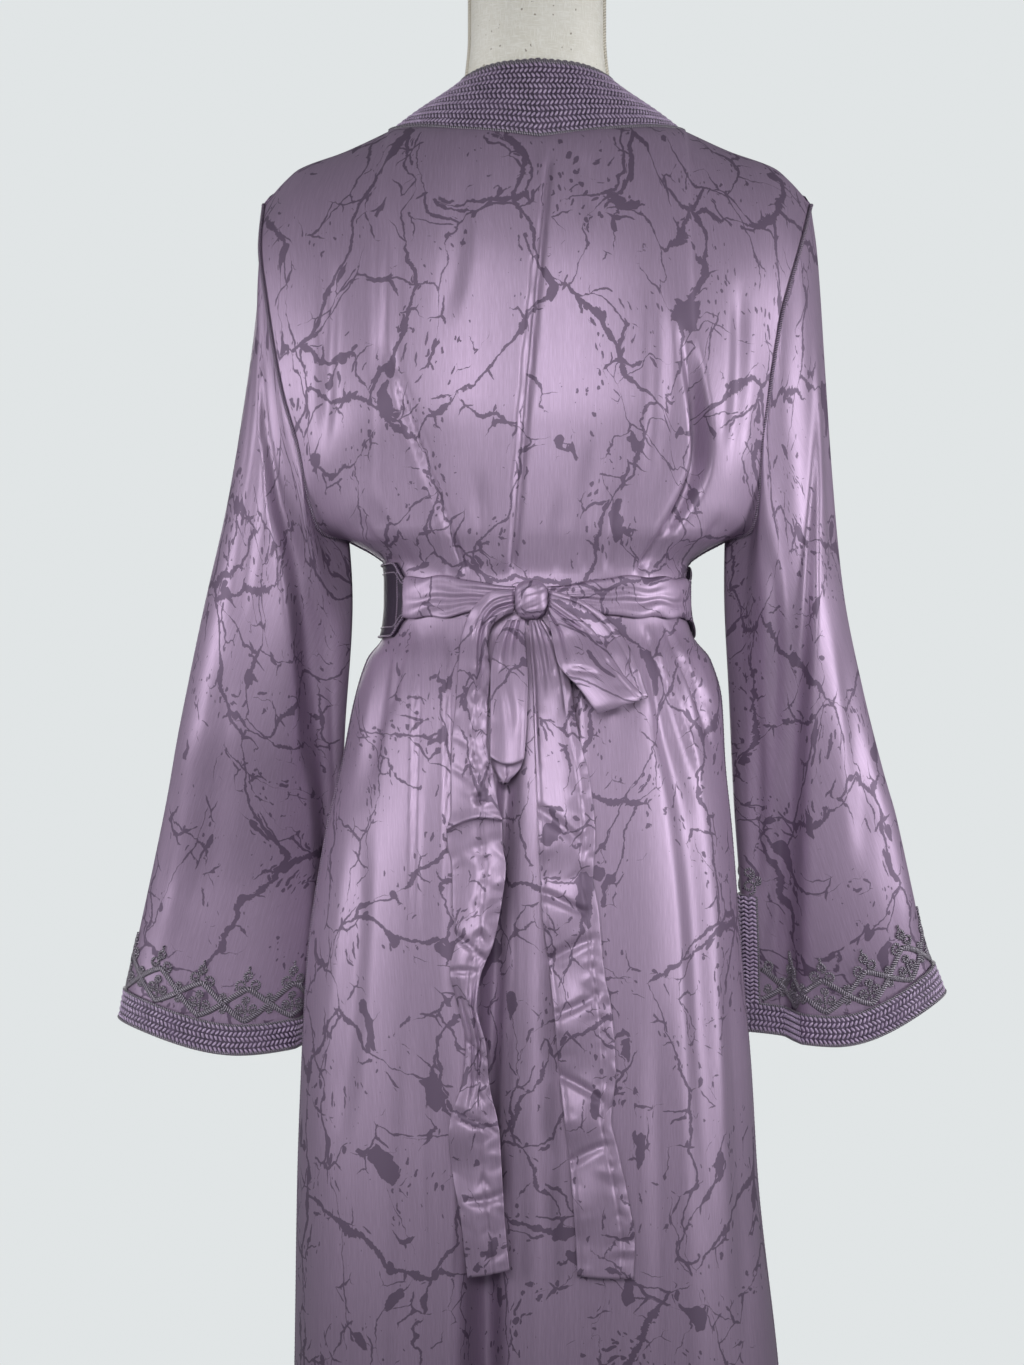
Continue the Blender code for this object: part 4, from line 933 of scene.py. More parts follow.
front = {
    "columns": 56,
    "folds": (  # as behind, mirrored
        (1.030, 0.820, 0.055, 0.060, 0.066, 0.010, 0.016, 0.000, -0.005, 0.000),
        (1.030, 0.780, 0.085, 0.098, 0.110, 0.010, 0.018, 0.000, -0.006, 0.000),
        (0.900, 0.040, 0.075, 0.090, 0.100, 0.030, 0.045, 0.000, -0.010, -0.020),
        (0.900, 0.040, 0.140, 0.150, 0.155, 0.030, 0.045, 0.000, 0.005, 0.010),
        (1.230, 1.085, 0.100, 0.082, 0.070, 0.018, 0.012, 0.000, -0.009, -0.005),
    ),
    "creases": {
        "left": (
            (0.070, 1.260, 0.056, 1.085, 0.004, 0.012, 0.007, -0.0035, 0.3),
            (0.130, 1.300, 0.110, 1.090, 0.006, 0.016, 0.009, -0.0040, 0.2),
            (0.165, 1.350, 0.176, 1.170, 0.004, 0.014, 0.012, -0.0035, 0.1),
            (0.072, 1.036, 0.082, 0.860, 0.003, 0.007, 0.013, -0.0035, 0.3),
            (0.108, 1.036, 0.134, 0.900, 0.003, 0.007, 0.012, -0.0040, 0.4),
            (0.060, 0.780, 0.066, 0.300, 0.004, 0.016, 0.022, -0.0040, 0.1),
            (0.140, 0.820, 0.172, 0.400, 0.004, 0.018, 0.026, -0.0045, 0.1),
        ),
        "right": (
            (-0.064, 1.230, -0.054, 1.085, 0.003, 0.010, 0.007, -0.0035, 0.3),
            (-0.140, 1.320, -0.115, 1.090, 0.005, 0.016, 0.010, -0.0045, 0.2),
            (-0.170, 1.330, -0.160, 1.160, 0.004, 0.013, 0.012, -0.0035, 0.1),
            (-0.066, 1.036, -0.078, 0.880, 0.003, 0.007, 0.013, -0.0035, 0.3),
            (-0.100, 1.036, -0.138, 0.890, 0.003, 0.007, 0.013, -0.0040, 0.4),
            (-0.070, 0.740, -0.074, 0.240, 0.004, 0.016, 0.024, -0.0040, 0.1),
            (-0.150, 0.800, -0.176, 0.360, 0.004, 0.016, 0.026, -0.0045, 0.1),
        ),
    },
    "flat": (0.360, 1.480),
    "area": 0.37,
    "map": {"left": (1.37, 0.41), "right": (-1.73, 0.83)},
}


def panelHeights():
    skirt = np.linspace(back["hem"], back["hip"], back["skirtRows"])
    return np.concatenate([skirt, np.linspace(back["hip"], body["armLevel"], back["waistRows"] + 1)[1:]])


def panelRises():
    return np.sin(np.linspace(0, 1, back["upperRows"] + 1) * math.pi / 2)[1:]


def pleatRows():
    top, halves = back["pleatTop"], back["pleatHalves"]
    return tuple((top, foot, x, (x + end) / 2, end, *halves, 0, -deep, 0) for x, end, foot, deep in back["pleats"])


def foldedGrid(grid, table, creases, fade, mirrored=False, laps=()):
    x, height = grid[..., 0], grid[..., 2]
    depth = foldDepth(table, abs(x) if mirrored else x, height) + creaseDepth(creases, x, height)
    depth = depth + lapDepth(laps, x, height)
    return grid + facing(grid, level=True) * (depth * underBelt(height) * fade)[..., None]


def softenedWaist(grid, fade):
    # the blousing runs into the belt without a ledge
    height, depth, b = grid[..., 2], grid[..., 1].copy(), waist["blouse"]
    near = np.exp(-(((height - b["level"]) / b["reach"]) ** 2)) * ease((height - b["start"]) / b["rise"]) * fade
    for _ in range(b["passes"]):
        depth[1:-1] += 0.5 * near[1:-1] * ((depth[2:] + depth[:-2]) / 2 - depth[1:-1])
    return np.stack([grid[..., 0], depth, height], -1)


def sideSeams(lows, highs):
    return np.array([cloth["seam"]] * lows + [cloth["cornerSeam"]] * highs)[:, None]


def backGrid():
    across = np.linspace(-1, 1, back["columns"] + 1)
    heights, rises = panelHeights(), panelRises()
    low = ringPoints(body["rings"], across, heights[:, None])
    softly, folded = (1 - abs(across) ** power for power in back["fades"])
    grid = softenedWaist(np.vstack([low, upperBack(across, rises)]), softly)
    grid = foldedGrid(grid, back["folds"] + pleatRows(), back["creases"], folded, laps=back["laps"])
    side = sideSeams(len(heights), len(rises))
    top = np.where(abs(across) > body["neckShare"], cloth["shoulderSeam"], cloth["seam"])[:, None]
    return trimmed(grid, top=top, first=side, last=side)


def frontGrid(side):
    sign = signOf[side]
    out = np.linspace(0, 1, front["columns"] + 1)
    heights, rises = panelHeights(), panelRises()
    start = bandTurn(side, heights[:, None], body["bandWidth"])
    low = ringPoints(body["rings"], 2 - sign * (start + (1 - start) * out), heights[:, None])
    grid = np.vstack([low, upperFront(side, out, rises)])
    if side == "left":
        grid, out = grid[:, ::-1], out[::-1]
    softly, folded = ((1 - out**power) * (1 - (1 - out) ** power) for power in back["fades"])
    grid = softenedWaist(grid, softly)
    grid = foldedGrid(grid, front["folds"], front["creases"][side], folded, mirrored=True)
    outer = sideSeams(len(heights), len(rises))
    first, last = (outer, cloth["seam"]) if side == "left" else (cloth["seam"], outer)
    return trimmed(grid, top=cloth["shoulderSeam"], first=first, last=last)


def bandGrid(side, columns):
    sign = signOf[side]
    x = np.linspace(2 * cloth["seam"], body["bandWidth"], columns + 1)
    heights = panelHeights()[:, None]
    low = ringPoints(body["rings"], 2 - sign * bandTurn(side, heights, x), heights)
    rise = np.linspace(0, body["bandTop"], frontBand["upperRows"])[1:]
    edge = frontInner(rise)
    high = np.repeat(edge[:, None], columns + 1, axis=1)
    high[..., 0] = sign * x
    high[..., 1] -= body["bandCrown"] * (1 - x / body["bandWidth"])
    slant = body["collar"][-1][6] - body["collar"][-1][3]
    high[..., 2] += slant * (1 - x / body["bandWidth"]) * (rise[:, None] / body["bandTop"]) ** 2
    grid = np.vstack([low, high])
    grid = grid if side == "right" else grid[:, ::-1]
    first, last = (cloth["seam"], 0) if side == "left" else (0, cloth["seam"])
    return trimmed(grid, top=2 * cloth["seam"], first=first, last=last)


def satinPiece(name, nodeName, grid, origin):
    obj = clothPiece(name, nodeName, grid, cutMap(grid, origin), "satin", satin, "satin")


backGridShape = backGrid()
frontShapes = {side: frontGrid(side) for side in bothSides}
satinPiece("backPanel", "back_panel", backGridShape, back["map"])
for side in bothSides:
    satinPiece(f"{side}Front", f"front_{side}", frontShapes[side], front["map"][side])
print("panels made")

# Sleeves, their braid and their soutache

sleeves = {
    "columns": 110,
    "upperRows": 78,
    "ventRows": 24,
    "bandRows": 6,
    "vent": 0.125,
    "bandHeight": 0.026,
    "ventGap": 0.0012,
    "hollowRises": 0.55,
    "edgeShare": 11,  # the bands up the vent take one column in this many
    "settled": (0.45, 0.20, 0.12),  # share of the fall where turn, hollow and creases reach their full size
    "hollowEdge": 0.006,
    "ventEase": 0.03,
    "left": (  # height, inner x, outer x, half depth, centre y
        (0.650, 0.1880, 0.3860, 0.050, -0.090),
        (0.680, 0.1870, 0.3820, 0.050, -0.088),
        (0.800, 0.1800, 0.3560, 0.052, -0.076),
        (0.886, 0.1760, 0.3340, 0.055, -0.046),
        (0.950, 0.1720, 0.3190, 0.058, -0.020),
        (1.060, 0.1650, 0.2940, 0.060, -0.004),
        (1.150, 0.1720, 0.2730, 0.060, 0.000),
        (1.240, 0.1900, 0.2580, 0.058, 0.000),
        (1.330, 0.2000, 0.2470, 0.050, 0.000),
        (1.410, 0.2000, 0.2415, 0.030, 0.000),
    ),
    "right": (
        (0.660, 0.1880, 0.3820, 0.052, -0.066),
        (0.709, 0.1870, 0.3690, 0.052, -0.060),
        (0.750, 0.1860, 0.3520, 0.053, -0.048),
        (0.800, 0.1835, 0.3380, 0.054, -0.038),
        (0.880, 0.1770, 0.3180, 0.056, -0.026),
        (0.983, 0.1710, 0.2900, 0.058, -0.010),
        (1.072, 0.1665, 0.2710, 0.060, 0.000),
        (1.178, 0.1700, 0.2610, 0.060, 0.000),
        (1.267, 0.1850, 0.2550, 0.056, 0.000),
        (1.370, 0.2000, 0.2480, 0.044, 0.000),
        (1.410, 0.2050, 0.2425, 0.030, 0.000),
    ),
    "folds": {  # height, x of the fold behind, how far the inner part lies back
        "left": (
            (0.660, 0.2180, 0.032),
            (0.760, 0.2000, 0.040),
            (0.853, 0.1955, 0.044),
            (0.960, 0.2020, 0.040),
            (1.096, 0.2165, 0.024),
            (1.156, 0.2295, 0.014),
            (1.240, 0.2370, 0.010),
            (1.330, 0.2400, 0.000),
        ),
        "right": (
            (0.690, 0.2325, 0.040),
            (0.860, 0.2300, 0.026),
            (1.098, 0.2370, 0.016),
            (1.220, 0.2430, 0.010),
            (1.330, 0.2400, 0.000),
        ),
    },
    "seamTurns": {  # rise of the armhole, degrees round the tube
        "left": ((0, 0), (0.08, 25), (0.2, 45), (0.35, 64), (0.5, 82), (0.7, 112), (0.85, 140), (1, 180)),
        "right": ((0, 0), (0.08, 22), (0.2, 40), (0.35, 50), (0.5, 56), (0.7, 70), (0.85, 100), (1, 180)),
    },
    "rises": (0, 0.05, 0.11, 0.19, 0.29, 0.41, 0.54, 0.67, 0.79, 0.88, 0.95, 1),
    "wrist": {"left": (0.664, 0.655, 0.682), "right": (0.675, 0.667, 0.709)},  # height at inner, middle, outer
    "creases": {  # x, height at start, at end, bow, half width at start, end, depth, sharpness
        "left": (
            (0.244, 1.360, 0.262, 1.120, 0.004, 0.010, 0.012, -0.0030, 0.2),
            (0.236, 1.250, 0.262, 1.020, 0.004, 0.009, 0.014, -0.0030, 0.1),
            (0.205, 1.060, 0.206, 0.880, 0.003, 0.008, 0.010, -0.0030, 0.2),
            (0.270, 1.020, 0.306, 0.760, 0.006, 0.016, 0.024, -0.0036, 0.0),
            (0.190, 1.020, 0.190, 0.760, 0.002, 0.008, 0.010, -0.0030, 0.2),
            (0.300, 0.960, 0.345, 0.730, 0.006, 0.016, 0.020, 0.0030, 0.0),
        ),
        "right": (
            (-0.248, 1.300, -0.256, 1.060, 0.003, 0.008, 0.010, -0.0030, 0.2),
            (-0.200, 1.120, -0.206, 0.900, 0.004, 0.010, 0.012, -0.0040, 0.2),
            (-0.262, 1.060, -0.290, 0.800, 0.005, 0.014, 0.020, -0.0034, 0.0),
            (-0.190, 1.000, -0.196, 0.780, 0.003, 0.009, 0.010, -0.0034, 0.2),
            (-0.214, 0.900, -0.212, 0.720, 0.003, 0.008, 0.012, -0.0050, 0.3),
            (-0.300, 0.920, -0.336, 0.740, 0.005, 0.016, 0.020, 0.0030, 0.0),
        ),
    },
    "flat": (0.480, 0.790),
    "area": 0.25,
    "map": {"left": (3.11, 0.27), "right": (-3.39, 0.65)},
}


def sleeveGrid(side):
    # rows from the armhole down, columns from the underarm round the back
    s, sign = sleeves, signOf[side]
    half = s["columns"] // 2
    turn = np.linspace(0, 2 * math.pi, s["columns"] + 1)
    steps = len(s["rises"]) - 1
    rise = np.interp(np.linspace(0, steps, half + 1), np.arange(steps + 1), s["rises"])
    top = np.vstack([armhole(side, rise), armhole(side, rise[-2::-1], behind=False)])
    over = (1 - np.cos(turn)) / 2
    inner, middle, outer = s["wrist"][side]
    wrist = smooth(((0, inner), (0.4, middle), (1, outer)), over)[:, 0]
    fall = np.linspace(0, 1, s["upperRows"] + 1)[:-1, None]
    upper = top[:, 2] + fall * (wrist + s["vent"] - top[:, 2])
    steps = np.concatenate([
        np.linspace(s["vent"], s["bandHeight"], s["ventRows"] + 1)[:-1],
        np.linspace(s["bandHeight"], 0, s["bandRows"] + 1),
    ])
    height = np.vstack([upper, wrist + steps[:, None]])

    def tube(level, angle):
        inside, outside, deep, centre = np.moveaxis(smooth(s[side], level), -1, 0)
        x = (outside + inside) / 2 - (outside - inside) / 2 * np.cos(angle)
        return np.stack([sign * x, centre + deep * np.sin(angle), level], -1)

    behind = np.radians(smooth(s["seamTurns"][side], rise)[:, 0])
    start = np.concatenate([behind, 2 * math.pi - behind[-2::-1]])
    fallen = (top[:, 2] - height) / (top[:, 2] - wrist)
    turning, hollowing, creasing = (ease(fallen / share) for share in s["settled"])
    turned = start + turning * (turn - start)
    grid = tube(height, turned) + ((1 - fallen) ** 2)[..., None] * (top - tube(top[:, 2], start))
    line, deep = np.moveaxis(smooth(s["folds"][side], height), -1, 0)
    behind = ease(np.sin(turned) / 0.75) * hollowing
    inside = smooth(s[side], height)[..., 0]
    beyond = np.clip((line - abs(grid[..., 0])) / np.maximum(line - inside, 0.01), 0, 1)
    deep = deep * (1 - s["hollowRises"] * beyond)
    grid[..., 1] -= deep * behind * ease((line + s["hollowEdge"] - abs(grid[..., 0])) / (2 * s["hollowEdge"]))
    creased = creaseDepth(s["creases"][side], grid[..., 0], height) * creasing
    edge = ease(abs(np.sin(turned)) / 0.3)
    grid = grid + outwardSleeve(grid, side) * (creased * edge)[..., None]
    opened = s["ventGap"] * ease((wrist[0] + s["vent"] - height[:, 0]) / s["ventEase"])
    grid[:, -1] = np.where((opened > 0)[:, None], grid[:, -1], grid[:, 0])
    grid[:, 0, 1] += opened
    grid[:, -1, 1] -= opened
    return grid


def sleeveMap(grid, side):
    # the cut as it lay flat, measured round from the middle of its back
    middle = sleeves["columns"] // 4
    around = np.cumsum(np.linalg.norm(np.diff(grid, axis=1), axis=2), axis=1)
    around = np.concatenate([0 * around[:, :1], around], axis=1)
    line = grid[:, middle]
    across = around - around[:, middle : middle + 1]
    x, y = sleeves["map"][side]
    sideways = x + signOf[side] * (abs(line[:, :1]) - across)
    return np.stack([sideways, y - runLength(line)[:, None] + 0 * across], -1)


def outwardSleeve(grid, side):
    # the grid is closed for the normals, so its first and last columns agree
    return -signOf[side] * facing(np.concatenate([grid[:, -2:-1], grid, grid[:, 1:2]], axis=1))[:, 1:-1]


soutache = {
    "pitch": 0.041,
    "low": 0.0035,  # height of the valleys and the peaks over the cuff's braid
    "high": 0.0330,
    "cord": 0.00130,
    "cordPitch": 0.0030,
    "cordStep": 0.0013,
    "clear": 0.003,  # from the bands up the vent
    "zigzag": 0.72,  # the rest of the wave is round
    "steps": 26,
    "curl": (1.35, 0.72, 40),  # turns, share of the radius that it closes by, points
    "stem": 0.0150,  # length of the stem under a peak, and where the tip over it starts and ends
    "tip": (0.0150, 0.0205),
    "rosette": ((0.0, 0.0, 0.0066), (0.0, 0.0125, 0.0052), (0.0088, 0.0066, 0.0040), (-0.0088, 0.0066, 0.0040)),
    "rosetteAt": (0.0125, 0.008),
    "curls": (  # from the peak: centre across, centre up, radius, base across, base up
        (-0.0062, 0.0034, 0.0056, -0.0010, 0.0004),
        (0.0062, 0.0034, 0.0056, 0.0010, 0.0004),
        (0.0, 0.0118, 0.0046, 0.0, 0.0070),
    ),
    "flower": (
        (-0.0056, 0.0115, 0.0044, -0.0008, 0.0090),
        (0.0056, 0.0115, 0.0044, 0.0008, 0.0090),
        (0.0, 0.0190, 0.0038, 0.0, 0.0150),
    ),
    "crossing": ((0.0, 0.0062, 0.0032, 0.0, 0.0028), (0.0, -0.0062, 0.0030, 0.0, -0.0028)),
}


def curl(centre, radius, base):
    # a spiral from its base into its centre, mirrored on the left
    start = math.atan2(base[1] - centre[1], base[0] - centre[0])
    away = 1 if centre[0] >= 0 else -1
    turns, closing, points = soutache["curl"]
    angle = np.linspace(0, turns * 2 * math.pi, points)
    size, turned = radius * (1 - closing * angle / angle[-1]), start + away * angle
    return np.stack([centre[0] + size * np.cos(turned), centre[1] + size * np.sin(turned)], -1)


def soutacheCords(grid, side):
    # a zigzag pair of cords with curls at its peaks, flowers in its valleys and a rosette on each side of the vent
    s, t, normal = sleeves, soutache, outwardSleeve(grid, side)
    bandRow, edge = s["upperRows"] + s["ventRows"], s["columns"] // s["edgeShare"]
    length = runLength(grid[bandRow - 5])
    first, last = length[edge] + t["clear"], length[-1 - edge] - t["clear"]
    units = int(round((last - first) / t["pitch"]))
    pitch = (last - first) / units
    cords = []

    def lay(path, double=False):
        column = np.interp(path[:, 0], length, np.arange(len(length)))
        row = bandRow - path[:, 1] / (s["vent"] - s["bandHeight"]) * s["ventRows"]
        points, up = surfaceAt(grid, normal, row, column)
        points = points + up * t["cord"] * 0.7
        cords.append(sweptCord(points, up, t["cord"], pitch=t["cordPitch"], double=double, step=t["cordStep"]))

    def layUpright(at, low, high, count):
        lay(np.stack([np.full(count, at), np.linspace(low, high, count)], -1))

    low, high = t["low"], t["high"]
    at = np.linspace(first, last, units * t["steps"] + 1)
    for sign in (1, -1):
        turn = (at - first) / pitch % 2
        wave = sign * (t["zigzag"] * (2 * abs(1 - turn) - 1) + (1 - t["zigzag"]) * np.cos(math.pi * turn))
        lay(np.stack([at, (low + high) / 2 + (high - low) / 2 * wave], -1), double=True)
    for k in range(units + 1):
        here = first + k * pitch
        for table, level in ((t["curls"], high), (t["flower"], low)):
            for x, up, radius, baseX, baseUp in table:
                if first < here + x - radius and here + x + radius < last:
                    lay(curl((x, up), radius, (baseX, baseUp)) + (here, level))
        if first < here < last:
            layUpright(here, low, low + t["stem"], 8)
            layUpright(here, high + t["tip"][0], high + t["tip"][1], 6)
        if k < units:
            for x, up, radius, baseX, baseUp in t["crossing"]:
                lay(curl((x, up), radius, (baseX, baseUp)) + (here + pitch / 2, (low + high) / 2))
    away, over = t["rosetteAt"]
    for centre in (away, length[-1] - away):
        for across, up, radius in t["rosette"]:
            if 0.001 < centre + across - radius and centre + across + radius < length[-1] - 0.001:
                base = (across * 0.5, up - radius * 0.9)
                lay(curl((across, up), radius, base) + (centre, s["vent"] - s["bandHeight"] + over))
    return cords


cuff = {"rows": 5, "ventRows": 6, "cord": 0.0012, "hemCord": 0.0016, "flat": (0.75, 0.030), "area": 0.0215}


def cuffCords(out, side):
    s, normal = sleeves, outwardSleeve(out, side)
    vent, bandRow, edge = s["upperRows"], s["upperRows"] + s["ventRows"], s["columns"] // s["edgeShare"]
    cords = []
    for rows, columns in (
        (slice(vent, None), 0),
        (slice(vent, None), -1),
        (slice(vent, bandRow + 1), edge),
        (slice(vent, bandRow + 1), -1 - edge),
        (-1, slice(None)),
        (bandRow, slice(edge, -edge)),
    ):
        radius = cuff["hemCord"] if rows == -1 else cuff["cord"]
        path, up = out[rows, columns], normal[rows, columns]
        cords.append(sweptCord(path + up * radius * 0.2, up, radius))
    return cords


def makeSleeve(side):
    s = sleeves
    plain = sleeveGrid(side)
    grid = trimmed(plain, bottom=cloth["cornerSeam"])
    flip, name, cutPlan = side == "left", f"{side}Sleeve", sleeveMap(grid, side)
    obj = clothPiece(name, f"sleeve_{side}", grid, cutPlan, "satin", satin, "satin", closed=True, flip=flip)
    threads = joinedPiece(f"{side}Soutache", soutacheCords(grid, side), cordGrey)
    out = grid + (2 * cloth["rest"] + cloth["braid"]) * outwardSleeve(grid, side)
    vent, bandRow, edge = s["upperRows"], s["upperRows"] + s["ventRows"], s["columns"] // s["edgeShare"]
    kept = np.zeros((out.shape[0] - 1, out.shape[1] - 1), bool)
    kept[bandRow:] = True
    kept[vent:, :edge] = True
    kept[vent:, -edge:] = True
    name = f"{side}CuffBand"
    band = clothPiece(name, f"cuff_band_{side}", out, cutMap(out), "braid", braidGround, "braid", kept=kept, flip=flip)
    rows = braidRows(out[bandRow:], cuff["rows"], sign=-signOf[side])
    for strip in (out[vent : bandRow + 1, : edge + 1], out[vent : bandRow + 1, -edge - 1 :]):
        rows += braidRows(strip, cuff["ventRows"], alongRows=True, sign=-signOf[side])
    stitches = joinedPiece(f"{side}CuffStitches", rows, braidThread)
    edging = joinedPiece(f"{side}CuffCords", cuffCords(out, side), cordGrey)
    return plain


sleeveShapes = {side: makeSleeve(side) for side in bothSides}
print("sleeves made")

# Collar and front bands

collar = {
    "columns": 220,
    "across": 14,
    "rows": 13,
    "roll": 0.0022,
    "wave": 0.0008,
    "cords": (0.0019, 0.0015),  # radius at the outer and the inner edge
    "picot": {"radius": 0.0013, "step": 0.0010, "every": 0.0060, "reach": 0.0026, "lift": 0.0004, "pitch": 0.0030},
    "flat": (0.98, 0.078),
    "area": 0.070,
}
frontBand = {
    "columns": 8,
    "upperRows": 30,
    "rows": 6,
    "pitch": 0.0048,
    "cord": 0.0015,
    "cordPitch": 0.0060,
    "cordStep": 0.0020,
    "flat": (0.035, 1.27),
}


def collarGrid():
    station = np.linspace(-2, 2, collar["columns"] + 1)
    outer, inner = collarEdges(station)
    share = np.linspace(0, 1, collar["across"] + 1)[:, None, None]
    grid = outer + share * (inner - outer)
    # the band rolls a little between its edges and waves where it leaves the shoulders
    normal = facing(grid)
    roll = collar["roll"] * np.sin(share[..., 0] * math.pi)
    wave = collar["wave"] * np.sin(station * 9.0 + 1.1) * (1 - share[..., 0]) ** 2 * ease((1.15 - abs(station)) / 0.25)
    grid = grid + normal * (roll + wave)[..., None]
    return trimmed(grid, bottom=cloth["seam"], first=2 * cloth["seam"], last=2 * cloth["seam"])


def picot(path, up, inward):
    # a cord thrown in small loops along the neck's edge
    p = collar["picot"]
    at, path, up, inward = resampled(path, p["step"], up, inward)
    loops = abs(np.sin(math.pi * at / p["every"])) ** 0.8
    path = path + inward * (p["lift"] + p["reach"] * loops)[:, None]
    return sweptCord(path, up, p["radius"], pitch=p["pitch"], step=p["step"])


def makeCollar():
    grid = collarGrid()
    band = clothPiece("collarBand", "collar_band", grid, cutMap(grid), "braid", braidGround, "braid")
    normal = facing(grid)
    stitches = joinedPiece("collarStitches", braidRows(grid, collar["rows"]), braidThread)
    outer, inner = collar["cords"]
    cords = [
        sweptCord(grid[0] + normal[0] * 0.0009, normal[0], outer),
        sweptCord(grid[-1] + normal[-1] * 0.0004, normal[-1], inner),
        picot(grid[-1], normal[-1], unit(grid[-1] - grid[-2])),
    ]
    edging = joinedPiece("collarCords", cords, cordGrey)


def makeFrontBand(side):
    b, grid = frontBand, bandGrid(side, frontBand["columns"])
    band = clothPiece(f"{side}FrontBand", f"front_band_{side}", grid, cutMap(grid), "braid", braidGround, "braid")
    normal = facing(grid)
    rows = braidRows(grid, b["rows"], alongRows=True, pitch=b["pitch"])
    stitches = joinedPiece(f"{side}FrontStitches", rows, braidThread)
    cords = [sweptCord(grid[:, k] + normal[:, k] * 0.0006, normal[:, k], b["cord"], b["cordPitch"], step=b["cordStep"])
             for k in (0, -1)]
    edging = joinedPiece(f"{side}FrontCords", cords, cordGrey)


makeCollar()
for side in bothSides:
    makeFrontBand(side)
print("collar and bands made")

# Sewn cords over the armholes and the side seams

seamCord = {"armhole": 0.0017, "side": 0.0014, "sunk": (1.024, 1.10, 0.01)}  # sunk: from, to and ease, under the belt


def armholeCord(side):
    grid = sleeveShapes[side]
    path = grid[0]
    panel = np.stack([0 * path[:, 0], np.sign(path[:, 1]) * 0.9, 0 * path[:, 0] + 0.35], -1)
    up = unit(outwardSleeve(grid, side)[2] + panel)
    return sweptCord(path + up * 0.0008, up, seamCord["armhole"])


def sideCord(side):
    column = -1 if side == "left" else 0
    rows = back["skirtRows"] + back["waistRows"]
    front = frontShapes[side][:rows, 0 if side == "left" else -1]
    path = (backGridShape[:rows, column] + front) / 2
    low, high, near = seamCord["sunk"]
    under = 1 - np.maximum(ease((low - path[:, 2]) / near), ease((path[:, 2] - high) / near))
    up = np.tile((float(signOf[side]), 0.0, 0.0), (rows, 1))
    return sweptCord(path + up * (0.0006 - 0.0008 * under)[:, None], up, seamCord["side"])


for side in bothSides:
    joinedPiece(f"{side}SeamCords", [armholeCord(side), sideCord(side)], cordLilac)
print("seam cords made")

# Belt, ties, bow

belt = {
    "low": 1.030,
    "high": 1.093,
    "ends": (0.625, 3.150),
    "taper": (0.09, 0.26),
    "tieGap": 0.006,
    "tieTurns": {"left": 0.068, "right": 3.977},
    "gather": 0.32,  # how far round the knot's pull reaches
    "narrowed": 0.50,
    "columns": (180, 120),  # of the panel and of a tie
    "rows": (17, 21),
    "panelCords": ((0, 0.0010), (-1, 0.0010), (2, 0.0007), (-3, 0.0007)),  # row, radius
    "endCords": ((0, 0.0010), (-1, 0.0010), (4, 0.0007), (-5, 0.0007)),  # column, radius
    "tieEdge": 0.0026,
    "tieWave": 0.0009,
    "puff": (0.0026, 0.0004, 0.0010),  # all along, in its ripples, more at the knot
    "lift": 0.0004,
    "wrinkles": {  # height share at the knot and at the far end, half width, depth, share of the length that it runs
        "left": ((0.22, 0.10, 0.16, 0.0020, 0.85), (0.48, 0.42, 0.14, 0.0026, 0.95), (0.72, 0.80, 0.16, 0.0018, 0.80)),
        "right": ((0.20, 0.30, 0.13, 0.0020, 0.60), (0.42, 0.36, 0.12, 0.0024, 0.95), (0.60, 0.66, 0.14, 0.0020, 0.75),
                  (0.80, 0.86, 0.12, 0.0016, 0.45)),
    },
    "flat": (0.470, 0.063),
    "tieFlat": {"left": (0.125, 0.036), "right": (0.190, 0.036)},
    "map": {"panel": (5.2, 0.9), "left": (6.1, 0.3), "right": (6.9, 0.3)},
}


def wrapped(around, height, out):
    grid = ringPoints(body["rings"], around, height)
    return grid + facing(grid, level=True) * np.asarray(out)[..., None]


def makeBeltPanel():
    b = belt
    around = np.linspace(*b["ends"], b["columns"][0])
    share = np.linspace(0, 1, b["rows"][0])[:, None]
    fromEnd = np.minimum((around - b["ends"][0]) / b["taper"][0], (b["ends"][1] - around) / b["taper"][1])
    narrow = (waist["high"] - waist["low"]) / (b["high"] - b["low"])
    wide = narrow + (1 - narrow) * ease(fromEnd)
    height = waist["middle"] + (b["low"] + share * (b["high"] - b["low"]) - waist["middle"]) * wide
    grid = wrapped(around, height, 2 * cloth["rest"] + cloth["belt"])
    cutPlan = cutMap(grid, b["map"]["panel"])
    panel = clothPiece("beltPanel", "belt_panel", grid, cutPlan, "belt", beltClothShaded, "belt_cloth")
    normal = facing(grid)
    cords = [sweptCord(grid[k] + normal[k] * radius * 0.5, normal[k], radius) for k, radius in b["panelCords"]]
    cords += [sweptCord(grid[:, k] + normal[:, k] * 0.0004, normal[:, k], radius) for k, radius in b["endCords"]]
    edging = joinedPiece("beltCords", cords, cordLilac)


